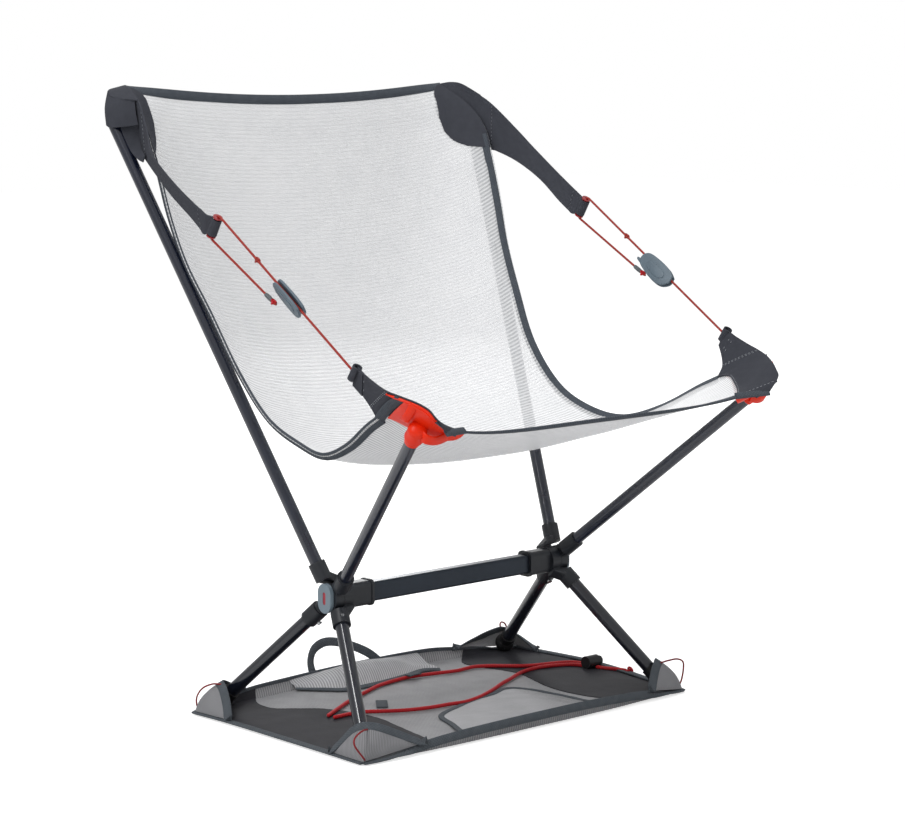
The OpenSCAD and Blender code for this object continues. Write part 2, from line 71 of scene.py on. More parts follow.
def at(x, y, z):
    # millimetres: x sideways, y behind the pivot axis, z above the floor
    return Vector((x * mm, pivot.y + y * mm, z * mm))


def places(points, side=1):
    return [at(side * x, y, z) for x, y, z in points]


# camera

cameraSpec = {"place": (-1.7738, -2.0132, 0.6682), "down": 7.65, "turn": -41.66, "lens": 104.6}


def makeCamera():
    data = bpy.data.cameras.new("view_camera")
    data.lens = cameraSpec["lens"]
    data.clip_start, data.clip_end = 0.1, 60
    camera = bpy.data.objects.new("view_camera", data)
    camera.location = cameraSpec["place"]
    camera.rotation_euler = (math.radians(90 - cameraSpec["down"]), 0, math.radians(cameraSpec["turn"]))
    bpy.context.scene.collection.objects.link(camera)
    bpy.context.scene.camera = camera


makeCamera()


def smoothLine(points, steps):
    # a smooth line through the points, with that many pieces between each two
    last = len(points) - 1
    line = []
    for k in range(last):
        a, b = points[max(k - 1, 0)], points[k]
        c, d = points[k + 1], points[min(k + 2, last)]
        for s in range(steps):
            t = s / steps
            line.append(0.5 * (2 * b + (c - a) * t + (2 * a - 5 * b + 4 * c - d) * t * t
                               + (3 * b - a - 3 * c + d) * t ** 3))
    line.append(Vector(points[last]))
    return line


def lineLength(line):
    return sum((b - a).length for a, b in zip(line, line[1:]))


def evenLine(line, count):
    # the same line with evenly spaced points
    marks = [0.0]
    for a, b in zip(line, line[1:]):
        marks.append(marks[-1] + (b - a).length)
    out, k = [], 0
    for i in range(count):
        want = marks[-1] * i / (count - 1)
        while k < len(marks) - 2 and marks[k + 1] < want:
            k += 1
        span = max(marks[k + 1] - marks[k], 1e-9)
        out.append(line[k].lerp(line[k + 1], (want - marks[k]) / span))
    return out


def aheadAt(line, k):
    return (line[min(k + 1, len(line) - 1)] - line[max(k - 1, 0)]).normalized()


def deselect():
    bpy.ops.object.select_all(action="DESELECT")


def makeActive(piece):
    deselect()
    piece.select_set(True)
    bpy.context.view_layer.objects.active = piece


def applyModifier(piece, kind, **values):
    makeActive(piece)
    modifier = piece.modifiers.new(kind.title(), kind)
    for key, value in values.items():
        setattr(modifier, key, value)
    bpy.ops.object.modifier_apply(modifier=modifier.name)


def smoothShade(piece, angle=40):
    makeActive(piece)
    bpy.ops.object.shade_smooth_by_angle(angle=math.radians(angle))


def pointOut(piece):
    work = bmesh.new()
    work.from_mesh(piece.data)
    bmesh.ops.recalc_face_normals(work, faces=work.faces)
    work.to_mesh(piece.data)
    work.free()


def meshPiece(name, points, faces, uvs, material):
    data = bpy.data.meshes.new(name)
    data.from_pydata([tuple(p) for p in points], [], faces)
    layer = data.uv_layers.new(name="UVMap")
    for loop in data.loops:
        layer.data[loop.index].uv = uvs[loop.vertex_index]
    data.materials.append(material)
    piece = bpy.data.objects.new(name, data)
    bpy.context.scene.collection.objects.link(piece)
    return piece


def clothFromRows(name, rows, thick, material):
    # rows of points become one layer of cloth; its UV map is in metres along and across
    wide = len(rows[0])
    points = [p for row in rows for p in row]
    uvs = []
    down = [0.0] * wide
    for i, row in enumerate(rows):
        if i:
            down = [d + (p - q).length for d, p, q in zip(down, row, rows[i - 1])]
        along = [0.0]
        for a, b in zip(row, row[1:]):
            along.append(along[-1] + (b - a).length)
        uvs += [(u - along[-1] / 2, v) for u, v in zip(along, down)]
    faces = [(i * wide + j, i * wide + j + 1, (i + 1) * wide + j + 1, (i + 1) * wide + j)
             for i in range(len(rows) - 1) for j in range(wide - 1)]
    piece = meshPiece(name, points, faces, uvs, material)
    applyModifier(piece, "SOLIDIFY", thickness=thick, offset=0, use_even_offset=False)
    pointOut(piece)
    smoothShade(piece, 60)
    return piece


def ringPiece(name, points, uvs, sides, material, angle):
    # rings of points joined by faces and closed at both ends
    rings = len(points) // sides
    faces = []
    for k in range(rings - 1):
        for s in range(sides):
            a, b = k * sides + s, k * sides + (s + 1) % sides
            faces.append((a, b, b + sides, a + sides))
    faces.append(tuple(reversed(range(sides))))
    faces.append(tuple((rings - 1) * sides + s for s in range(sides)))
    piece = meshPiece(name, points, faces, uvs, material)
    pointOut(piece)
    smoothShade(piece, angle)
    return piece


def tubeAlong(name, line, radius, sides, material, swell=None):
    # a round tube with domed ends; its UV map is in metres round and along
    count = len(line)
    heading = (line[1] - line[0]).normalized()
    across = heading.orthogonal().normalized()
    points, uvs = [], []
    travelled = 0.0
    domes = [(-radius * 0.8, 0.45), (-radius * 0.45, 0.8)]
    rings = [(line[0] + heading * d, heading, s, d) for d, s in domes]
    for k in range(count):
        ahead = aheadAt(line, k)
        if k:
            travelled += (line[k] - line[k - 1]).length
        rings.append((line[k], ahead, 1.0 if swell is None else swell(k / (count - 1)), travelled))
    rings += [(line[-1] - rings[-1][1] * d, rings[-1][1], s, travelled - d) for d, s in reversed(domes)]
    for place, ahead, scale, mark in rings:
        across = (across - ahead * across.dot(ahead)).normalized()
        other = ahead.cross(across)
        for s in range(sides):
            turn = 2 * math.pi * s / sides
            points.append(place + (across * math.cos(turn) + other * math.sin(turn)) * radius * scale)
            uvs.append((radius * turn, mark))
    return ringPiece(name, points, uvs, sides, material, 60)


def bandAlong(name, line, facing, width, thick, material):
    # a flat tape with soft edges; facing gives the way its flat side looks at each point
    half, depth = width / 2, thick / 2
    soft = min(depth, half) * 0.6
    outline = [(-half + soft, depth), (-half, depth - soft), (-half, soft - depth), (-half + soft, -depth),
               (half - soft, -depth), (half, soft - depth), (half, depth - soft), (half - soft, depth)]
    points, uvs = [], []
    travelled = 0.0
    for k, spot in enumerate(line):
        ahead = aheadAt(line, k)
        up = facing[k] if isinstance(facing, list) else facing
        up = (up - ahead * up.dot(ahead)).normalized()
        across = ahead.cross(up)
        if k:
            travelled += (spot - line[k - 1]).length
        for a, b in outline:
            points.append(spot + across * a + up * b)
            uvs.append((a, travelled))
    return ringPiece(name, points, uvs, len(outline), material, 50)


def joinPieces(name, pieces):
    makeActive(pieces[0])
    for piece in pieces:
        piece.select_set(True)
    bpy.ops.object.join()
    joined = bpy.context.view_layer.objects.active
    joined.name = name
    joined.data.name = name
    deselect()
    return joined


def settle(piece, body, slotName, *nodes):
    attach(piece, body)
    if nodes:
        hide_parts(*nodes)
    return piece


def declareCord(line):
    tuple(line[0])
    round(lineLength(line), 4)
    [tuple(p) for p in line]


# shader groups and materials

def newGroup(name, inputs, outputs):
    group = bpy.data.node_groups.new(name, "ShaderNodeTree")
    for label, kind, value in inputs:
        socket = group.interface.new_socket(label, in_out="INPUT", socket_type=kind)
        if value is not None:
            socket.default_value = value
    for label, kind in outputs:
        group.interface.new_socket(label, in_out="OUTPUT", socket_type=kind)
    return group, group.nodes.new("NodeGroupInput"), group.nodes.new("NodeGroupOutput")


def calc(tree, kind, *values, clamp=False):
    node = tree.nodes.new("ShaderNodeMath")
    node.operation = kind
    node.use_clamp = clamp
    for slot, value in enumerate(values):
        if isinstance(value, (int, float)):
            node.inputs[slot].default_value = value
        else:
            tree.links.new(value, node.inputs[slot])
    return node.outputs[0]


def noiseAt(tree, vector, scale, detail=2.0, rough=0.5):
    node = tree.nodes.new("ShaderNodeTexNoise")
    node.inputs["Detail"].default_value = detail
    node.inputs["Roughness"].default_value = rough
    tree.links.new(vector, node.inputs["Vector"])
    if isinstance(scale, (int, float)):
        node.inputs["Scale"].default_value = scale
    else:
        tree.links.new(scale, node.inputs["Scale"])
    return node.outputs["Fac"]


def wave(tree, value, turns):
    return calc(tree, "SINE", calc(tree, "MULTIPLY", value, turns))


def fromZero(tree, value):
    # a value from -1 to 1 as one from 0 to 1
    return calc(tree, "MULTIPLY_ADD", value, 0.5, 0.5)


def shareOf(tree, first, share, second):
    return calc(tree, "MULTIPLY_ADD", first, share, calc(tree, "MULTIPLY", second, round(1 - share, 3)))


numberIn, vectorIn = "NodeSocketFloat", "NodeSocketVector"


def splitVector(tree, vector):
    node = tree.nodes.new("ShaderNodeSeparateXYZ")
    tree.links.new(vector, node.inputs[0])
    return node.outputs["X"], node.outputs["Y"]


def putOut(group, end, **values):
    for label, value in values.items():
        group.links.new(value, end.inputs[label])
    return group


def weaveGroup():
    # plain woven cloth: threads that pass over and under, with slubs
    group, start, end = newGroup(
        "plainWeave", [("Vector", vectorIn, None), ("Threads", numberIn, 2000.0), ("Slub", numberIn, 60.0)],
        [("Height", numberIn), ("Tone", numberIn)])
    given = start.outputs
    x, y = splitVector(group, given["Vector"])
    turns = calc(group, "MULTIPLY", given["Threads"], math.pi)
    height = fromZero(group, calc(group, "MULTIPLY", wave(group, x, turns), wave(group, y, turns)))
    slub = noiseAt(group, given["Vector"], given["Slub"], 3.0)
    return putOut(group, end, Height=height, Tone=shareOf(group, slub, 0.6, height))


def ribGroup():
    # ribbed open mesh: a thicker rib every few millimetres, with fine holes between
    group, start, end = newGroup(
        "ribbedMesh", [("Vector", vectorIn, None), ("Ribs", numberIn, 230.0), ("Holes", numberIn, 700.0)],
        [("Height", numberIn), ("Cover", numberIn), ("Tone", numberIn)])
    given = start.outputs
    x, y = splitVector(group, given["Vector"])
    wobble = noiseAt(group, given["Vector"], 14.0, 2.0)
    shifted = calc(group, "MULTIPLY_ADD", wobble, 0.0016, y)
    ribTurn = calc(group, "MULTIPLY", given["Ribs"], 2 * math.pi)
    rib = fromZero(group, wave(group, shifted, ribTurn))
    holeTurn = calc(group, "MULTIPLY", given["Holes"], 2 * math.pi)
    cell = fromZero(group, calc(group, "MULTIPLY", wave(group, x, holeTurn), wave(group, shifted, holeTurn)))
    height = shareOf(group, rib, 0.7, cell)
    patch = noiseAt(group, given["Vector"], 40.0, 3.0)
    return putOut(group, end, Height=height, Cover=shareOf(group, rib, 0.6, cell),
                  Tone=shareOf(group, patch, 0.4, height))


def braidGroup():
    # cord sheath: two sets of strands wound opposite ways, with flecks
    group, start, end = newGroup(
        "braidedSheath", [("Vector", vectorIn, None), ("Round", numberIn, 0.0125),
                          ("Pitch", numberIn, 0.004)],
        [("Height", numberIn), ("Fleck", numberIn)])
    given = start.outputs
    x, y = splitVector(group, given["Vector"])
    around = calc(group, "MULTIPLY", calc(group, "DIVIDE", x, given["Round"]), 8 * math.pi)
    along = calc(group, "MULTIPLY", calc(group, "DIVIDE", y, given["Pitch"]), 2 * math.pi)
    a = calc(group, "SINE", calc(group, "ADD", around, along))
    b = calc(group, "SINE", calc(group, "SUBTRACT", around, along))
    fleck = calc(group, "GREATER_THAN", calc(group, "MULTIPLY", a, b), 0.35)
    return putOut(group, end, Height=fromZero(group, calc(group, "MAXIMUM", a, b)), Fleck=fleck)


def grainGroup():
    # fine moulding or drawing texture with soft clouds of wear
    group, start, end = newGroup(
        "surfaceGrain", [("Vector", vectorIn, None), ("Fine", numberIn, 1800.0), ("Cloud", numberIn, 45.0)],
        [("Height", numberIn), ("Cloud", numberIn), ("Scuff", numberIn)])
    given = start.outputs
    fine = noiseAt(group, given["Vector"], given["Fine"], 2.0)
    cloud = noiseAt(group, given["Vector"], given["Cloud"], 4.0, 0.6)
    sharp = noiseAt(group, given["Vector"], calc(group, "MULTIPLY", given["Cloud"], 6.0), 5.0, 0.7)
    worn = calc(group, "MULTIPLY", calc(group, "SUBTRACT", sharp, 0.62), 9.0, clamp=True)
    where = calc(group, "MULTIPLY", calc(group, "SUBTRACT", cloud, 0.45), 6.0, clamp=True)
    scuff = calc(group, "SMOOTH_MIN", worn, where, 0.1)
    return putOut(group, end, Height=fine, Cloud=cloud, Scuff=scuff)


plainWeave = weaveGroup()
ribbedMesh = ribGroup()
braidedSheath = braidGroup()
surfaceGrain = grainGroup()


def paint(code):
    # a screen colour such as "2b2e34" as linear light
    parts = [int(code[k:k + 2], 16) / 255 for k in (0, 2, 4)]
    return [c / 12.92 if c <= 0.04045 else ((c + 0.055) / 1.055) ** 2.4 for c in parts] + [1.0]


def startMaterial(name, group, coords, groupValues, fixed):
    # a material whose shader is fed by one effect group; fixed values go straight onto the shader
    material = bpy.data.materials.new(name)
    material.use_nodes = True
    tree = material.node_tree
    tree.nodes.clear()
    output = tree.nodes.new("ShaderNodeOutputMaterial")
    shader = tree.nodes.new("ShaderNodeBsdfPrincipled")
    tree.links.new(shader.outputs[0], output.inputs["Surface"])
    for label, value in fixed.items():
        shader.inputs[label].default_value = value
    place = tree.nodes.new("ShaderNodeTexCoord")
    effect = tree.nodes.new("ShaderNodeGroup")
    effect.node_tree = group
    tree.links.new(place.outputs[coords], effect.inputs["Vector"])
    for label, value in groupValues.items():
        effect.inputs[label].default_value = value
    return material, tree, shader, effect


def spread(tree, value, low, high):
    node = tree.nodes.new("ShaderNodeMapRange")
    node.inputs["To Min"].default_value = low
    node.inputs["To Max"].default_value = high
    tree.links.new(value, node.inputs["Value"])
    return node.outputs["Result"]


def finishWith(tree, shader, effect, tone, dark, light, bump, distance):
    # colour between dark and light by one output of the effect, and bump by its height
    node = tree.nodes.new("ShaderNodeMix")
    node.data_type = "RGBA"
    tree.links.new(effect.outputs[tone], node.inputs["Factor"])
    node.inputs["A"].default_value = paint(dark)
    node.inputs["B"].default_value = paint(light)
    tree.links.new(node.outputs["Result"], shader.inputs["Base Color"])
    relief = tree.nodes.new("ShaderNodeBump")
    relief.inputs["Strength"].default_value = bump
    relief.inputs["Distance"].default_value = distance
    tree.links.new(effect.outputs["Height"], relief.inputs["Height"])
    tree.links.new(relief.outputs["Normal"], shader.inputs["Normal"])


def hardMaterial(name, dark, light, rough, fine=1800.0, cloud=45.0, bump=0.05, **fixed):
    values = {"Fine": fine, "Cloud": cloud}
    material, tree, shader, grain = startMaterial(name, surfaceGrain, "Object", values, fixed)
    finishWith(tree, shader, grain, "Cloud", dark, light, bump, 0.0002)
    mixed = calc(tree, "MULTIPLY_ADD", grain.outputs["Scuff"], 0.12,
                 spread(tree, grain.outputs["Cloud"], *rough))
    tree.links.new(mixed, shader.inputs["Roughness"])
    return material


def clothMaterial(name, dark, light, threads, rough=0.85, bump=0.35, slub=60.0):
    values = {"Threads": threads, "Slub": slub}
    material, tree, shader, weave = startMaterial(name, plainWeave, "UV", values,
                                                  {"Roughness": rough, "Specular IOR Level": 0.25})
    finishWith(tree, shader, weave, "Tone", dark, light, bump, 0.0004)
    return material


def meshMaterial(name, dark, light, ribs, holes, cover, bump=0.4, **fixed):
    material, tree, shader, rib = startMaterial(name, ribbedMesh, "UV", {"Ribs": ribs, "Holes": holes},
                                                {"Roughness": 0.6, "Specular IOR Level": 0.3, **fixed})
    finishWith(tree, shader, rib, "Tone", dark, light, bump, 0.0006)
    tree.links.new(spread(tree, rib.outputs["Cover"], *cover), shader.inputs["Alpha"])
    return material


def cordMaterial(name, base, fleck, around, pitch):
    material, tree, shader, braid = startMaterial(name, braidedSheath, "UV",
                                                  {"Round": around, "Pitch": pitch},
                                                  {"Roughness": 0.6, "Specular IOR Level": 0.4})
    finishWith(tree, shader, braid, "Fleck", base, fleck, 0.6, 0.0005)
    return material


gloss = {"Coat Weight": 1.0, "Coat Roughness": 0.09, "Coat IOR": 1.6}
poleNavy = hardMaterial("pole_navy_anodised", "0f1524", "182036", (0.24, 0.34), 900.0, 22.0, 0.02,
                        Metallic=0.2, **gloss)
legNavy = hardMaterial("leg_navy_anodised", "0d111c", "151b2a", (0.26, 0.36), 900.0, 22.0, 0.02,
                       Metallic=0.2, **gloss)
barGraphite = hardMaterial("crossbar_graphite", "2a3038", "363e49", (0.3, 0.42), 1200.0, 30.0, 0.04,
                           Metallic=0.55)
hubNylon = hardMaterial("hub_nylon", "1d2025", "2a2d33", (0.36, 0.5), 1500.0, 50.0, 0.12)
capNylon = hardMaterial("cap_nylon", "6e7d86", "8494a0", (0.38, 0.5), 1500.0, 50.0, 0.1)
insertRed = hardMaterial("insert_red", "8e1f2c", "b03546", (0.3, 0.4), 1500.0, 60.0, 0.05)
brightSteel = hardMaterial("bright_steel", "b9bbbd", "d0d2d4", (0.18, 0.3), 2600.0, 60.0, 0.05, Metallic=1.0)
ferruleGrey = hardMaterial("ferrule_grey", "8f9194", "b5b7ba", (0.3, 0.4), 1200.0, 40.0, 0.04, Metallic=1.0)
tipGrey = hardMaterial("tip_grey", "6a737b", "87919a", (0.4, 0.5), 1500.0, 60.0, 0.1)
footRubber = hardMaterial("foot_rubber", "0d0d0e", "19191b", (0.5, 0.7), 1300.0, 70.0, 0.25)
lockNylon = hardMaterial("lock_nylon", "101113", "1b1c1f", (0.4, 0.55), 1500.0, 60.0, 0.12)
tubeRed = hardMaterial("tube_red_anodised", "9c0c16", "b81620", (0.2, 0.32), 1500.0, 60.0, 0.03,
                       Metallic=0.35, **gloss)
pocketOrange = hardMaterial("pocket_orange", "e82402", "fb3506", (0.34, 0.48), 900.0, 40.0, 0.12,
                            **{"Coat Weight": 0.06, "Coat Roughness": 0.3, "Specular IOR Level": 0.3})
adjusterGrey = hardMaterial("adjuster_blue_grey", "4f5f6b", "667783", (0.38, 0.52), 1500.0, 60.0, 0.12)
patchCloth = clothMaterial("patch_charcoal", "34363d", "484a52", 1500.0, 0.8, 0.3, 90.0)
tapeCloth = clothMaterial("tape_slate", "3a3f46", "5c626a", 620.0, 0.85, 0.9, 150.0)
sheetTape = clothMaterial("sheet_tape", "3f4449", "63696f", 620.0, 0.85, 0.9, 150.0)
panelCloth = clothMaterial("panel_black", "222226", "34343a", 1300.0, 0.75, 0.3, 70.0)
threadGrey = clothMaterial("thread_grey", "8b8f95", "b4b8bd", 4000.0, 0.6, 0.2)
slingCloth = meshMaterial("sling_mesh", "dfe1e5", "ffffff", 235.0, 940.0, (0.36, 0.86), 0.5,
                          **{"Sheen Weight": 0.2, "Sheen Roughness": 0.5})
sheetMesh = meshMaterial("sheet_mesh", "737376", "bdbdc0", 330.0, 660.0, (0.72, 1.0), 0.9)
pocketMesh = meshMaterial("pocket_mesh", "8f8f92", "e0e0e3", 330.0, 660.0, (0.66, 1.0), 0.9)
gussetMesh = meshMaterial("gusset_mesh", "66676b", "b2b2b5", 560.0, 420.0, (0.75, 1.0), 0.7)
drawBraid = cordMaterial("drawcord_red", "c4101d", "a00b17", 0.0126, 0.0042)
thinBraid = cordMaterial("thin_cord_red", "b8382c", "5b2320", 0.0075, 0.0032)
loopBraid = cordMaterial("loop_cord_red", "9c2026", "4a1518", 0.0069, 0.003)
sleeveBraid = cordMaterial("cord_sleeve_grey", "6a6f73", "4a4e52", 0.0125, 0.003)
elasticBraid = cordMaterial("elastic_cord", "bdbdbd", "8c8c8c", 0.008, 0.003)

nodeFinish = {
    "crossbar": barGraphite, "pivot_pins": brightSteel, "hub_caps": capNylon, "cap_inserts": insertRed,
    "leg_rivets": brightSteel, "pole_ferrules": ferruleGrey, "back_pole_tips": tipGrey,
    "seat_pole_tips": tipGrey, "back_shock_cords": elasticBraid, "seat_shock_cords": elasticBraid,
    "front_feet": footRubber, "rear_feet": footRubber, "leg_screws": brightSteel,
    "cord_lock": lockNylon, "lock_button": lockNylon, "lock_spring": brightSteel}
for handed in ("right", "left"):
    nodeFinish.update({
        handed + "_hub": hubNylon, handed + "_hub_arm": hubNylon, handed + "_seat_pole": poleNavy,
        handed + "_back_pole_lower": poleNavy, handed + "_back_pole_upper": poleNavy,
        handed + "_front_leg": legNavy, handed + "_rear_leg": legNavy, handed + "_strap_tube": tubeRed})
for nodeName, finish in nodeFinish.items():
    node = frame["nodes"][nodeName]
    if not node.material_slots:
        node.data.materials.append(finish)
    for materialSlot in node.material_slots:
        materialSlot.material = finish
print("materials on the frame's own nodes:", len(nodeFinish))


# arm cords

armSpec = {"tab": (250, -150, 380), "tube": (250, 60, 502), "tubeLength": 23, "tilt": 31, "standOut": 1.8,
           "tail": (250, -36, 433), "adjuster": 112, "knot": 170, "diameter": 2.4, "bend": 4.5}


def armPlaces(side):
    tab = at(side * armSpec["tab"][0], *armSpec["tab"][1:])
    tube = at(side * armSpec["tube"][0], *armSpec["tube"][1:])
    tail = at(side * armSpec["tail"][0], *armSpec["tail"][1:])
    tilt = math.radians(armSpec["tilt"])
    up = Vector((0, -math.sin(tilt), math.cos(tilt)))
    reach = (armSpec["tubeLength"] / 2 + armSpec["standOut"]) * mm
    return tab, tube, tail, up, reach


def makeArmCord(handed, side):
    tab, tube, tail, up, reach = armPlaces(side)
    radius = armSpec["diameter"] / 2 * mm
    top, low = tube + up * reach, tube - up * reach
    way = (top - tab).normalized()
    turn = armSpec["bend"] * mm
    main = [tab.lerp(top - way * turn, k / 18) for k in range(19)]
    # the last points carry the cord over the tube's rim and down inside it
    main += [top - way * turn * 0.45 - up * 0.25 * mm, top - way * 0.2 * mm - up * 1.6 * mm,
             top - up * 4.2 * mm]
    line = evenLine(smoothLine(main, 4), 121)
    cord = tubeAlong(handed + "_main_cord", line, radius, 12, thinBraid)
    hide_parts(handed + "_arm_cord")
    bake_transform(cord)
    declareCord(line)
    back = (tail - low).normalized()
    home = [low + up * 4.2 * mm, low + up * 1.6 * mm + back * 0.2 * mm,
            low + up * 0.25 * mm + back * turn * 0.45]
    home += [(low + back * turn).lerp(tail, k / 10) for k in range(11)]
    line = evenLine(smoothLine(home, 4), 61)
    strand = tubeAlong(handed + "_return_cord", line, radius, 12, thinBraid)
    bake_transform(strand)
    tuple(tail)
    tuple(low)
    declareCord(line)


for handed, side in hands:
    makeArmCord(handed, side)
print("arm cords made")


# drawcord

upperRun = [(-141, 24), (-118, 38), (-95, 52), (-72, 64), (-49, 75), (-22, 87), (4, 93), (30, 95), (56, 90),
            (85, 83), (100, 84), (113, 84), (128, 76), (143, 62), (157, 50), (174, 43), (191, 38), (205, 31),
            (212, 21), (213, 10)]
lowerRun = [(-141, 14), (-120, 14), (-103, 10), (-88, 0), (-72, -10), (-54, -17), (-36, -21), (-17, -23),
            (0, -26), (20, -22), (39, -15), (60, -5), (82, 7), (104, 17), (122, 26), (140, 33), (158, 35),
            (174, 33), (188, 28), (200, 20), (206, 10)]
tailRun = [(212, -6), (214, -14), (218, -22), (222, -30), (224, -38)]
drawSpec = {"diameter": 4.0, "height": 4.2, "pointGap": 2.2}


def makeDrawcord(name, run, *replaced):
    radius = drawSpec["diameter"] / 2 * mm
    line = smoothLine([at(x, y, drawSpec["height"]) for x, y in run], 6)
    line = evenLine(line, max(24, int(lineLength(line) / (drawSpec["pointGap"] * mm))))
    cord = tubeAlong(name, line, radius, 12, drawBraid)
    settle(cord, "ground_sheet", "drawcord_red", *replaced)
    declareCord(line)


makeDrawcord("drawcord_upper", upperRun, "drawcord")
makeDrawcord("drawcord_lower", lowerRun)
makeDrawcord("drawcord_tail", tailRun)
print("drawcord made")


# sling

slingSpec = {
    "edge": [(214, 255, 633), (226, 222, 612), (230, 198, 588), (229, 182, 552), (227, 166, 505),
             (221, 148, 458), (212, 120, 410), (204, 86, 354), (201, 42, 310), (200, -8, 290),
             (206, -52, 285), (216, -100, 301), (228, -148, 328), (234, -188, 343), (226, -236, 335)],
    "centre": [(0, 255, 620), (0, 250, 598), (0, 246, 574), (0, 238, 540), (0, 229, 502), (0, 216, 455),
               (0, 199, 400), (0, 176, 342), (0, 142, 290), (0, 84, 256), (0, 8, 253), (0, -68, 266),
               (0, -136, 284), (0, -184, 302), (0, -216, 318)],
    "steps": 6, "across": 64, "thick": 1.0, "tuckFrom": 12.4, "tuck": 0.165,
    "folds": (((230, 190, 560), 1.1), ((230, -180, 335), 1.5)), "foldReach": 0.07, "unevenness": 0.5}
edgeFine = smoothLine([Vector(p) for p in slingSpec["edge"]], slingSpec["steps"])
centreFine = smoothLine([Vector(p) for p in slingSpec["centre"]], slingSpec["steps"])


def slingPoint(station, u):
    # station counts the stations from the top hem, u runs from -1 to 1 across
    mark = min(max(station * slingSpec["steps"], 0), len(edgeFine) - 1)
    k = min(int(mark), len(edgeFine) - 2)
    edge = edgeFine[k].lerp(edgeFine[k + 1], mark - k)
    centre = centreFine[k].lerp(centreFine[k + 1], mark - k)
    # its section across is a shallow curve, squarer towards the top hem and the front hem
    curl = max(2.0, 8.0 - max(0.0, station - 2.0))
    lift = 2.0 + 2.0 * max(0.0, min(1.0, (station - 12.0) / 2.0))
    return at(edge.x * u, centre.y + (edge.y - centre.y) * abs(u) ** curl,
              centre.z + (edge.z - centre.z) * abs(u) ** lift)


def slingReach(station):
    # the sling stops under the corner patches
    return 1.0 - slingSpec["tuck"] * max(0.0, min(1.0, (station - slingSpec["tuckFrom"]) / 1.6)) ** 1.3


def slingFacing(station, u):
    # the way its upper side looks
    down = slingPoint(station + 0.2, u) - slingPoint(station - 0.2, u)
    across = slingPoint(station, min(u + 0.02, 1)) - slingPoint(station, max(u - 0.02, -1))
    return down.cross(across).normalized()


def foldAt(place):
    # small tension folds that run out of the four corners
    total = 0.0
    for (x, y, z), size in slingSpec["folds"]:
        for side in (-1, 1):
            away = place - at(side * x, y, z)
            turn = math.atan2(away.z, -side * away.x)
            fold = math.sin(9 * turn + 2.0 * noise.noise(place * 9))
            total += size * math.exp(-away.length / slingSpec["foldReach"]) * fold
    return total * mm + slingSpec["unevenness"] * mm * noise.noise(place * 14)


def makeSling():
    count = (len(slingSpec["edge"]) - 1) * slingSpec["steps"] + 1
    rows = []
    for i in range(count):
        station = i / slingSpec["steps"]
        row = []
        for j in range(slingSpec["across"] + 1):
            u = (2 * j / slingSpec["across"] - 1) * slingReach(station)
            place = slingPoint(station, u)
            row.append(place + slingFacing(station, u) * foldAt(place) * (1 - abs(u) ** 6))
        rows.append(row)
    sling = clothFromRows("sling_cloth", rows, slingSpec["thick"] * mm, slingCloth)
    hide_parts("sling")
    return sling


def blendWithSling(piece):
    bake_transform(piece)


def clothArea(rows):
    total = 0.0
    for upper, lower in zip(rows, rows[1:]):
        for a, b, c, d in zip(upper, upper[1:], lower[1:], lower):
            total += ((b - a).cross(c - a).length + (c - a).cross(d - a).length) / 2
    return total


slingPiece = makeSling()
blendWithSling(slingPiece)
hemSpec = {"top": 10.5, "front": 8, "side": 10.5, "thick": 2.4, "sideRoll": 0.7}


def slingTape(name, track, width, roll=0.0):
    # a tape that follows the sling along a track of stations and shares of its width
    marks = smoothLine([Vector((s, u, 0)) for s, u in track], 8)
    line = [slingPoint(m.x, m.y) for m in marks]
    facing = [slingFacing(min(max(m.x, 0.25), 13.75), max(-0.98, min(0.98, m.y))) for m in marks]
    facing = [(f + Vector((-roll, 0, 0))).normalized() for f in facing]
    tape = bandAlong(name, line, facing, width * mm, hemSpec["thick"] * mm, tapeCloth)
    blendWithSling(tape)
    return tape


topHem = slingTape("top_hem_tape", [(0.06, u / 10) for u in range(-10, 11)], hemSpec["top"])
frontHem = slingTape("front_hem_tape", [(13.94, 0.083 * u) for u in range(-10, 11)], hemSpec["front"])
for handed, side in hands:
    track = [(s, side * 0.985) for s in (2.3, 3, 4, 5, 6, 7, 8, 9, 10, 11, 11.8, 12.4)]
    slingTape(handed + "_side_tape", track, hemSpec["side"],
                               roll=hemSpec["sideRoll"] * side)
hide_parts("top_hem")
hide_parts("front_hem")
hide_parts("side_tapes")
print("sling made")


# wing straps: a corner patch, the pocket round the pole tip, and the strap down to the red tube

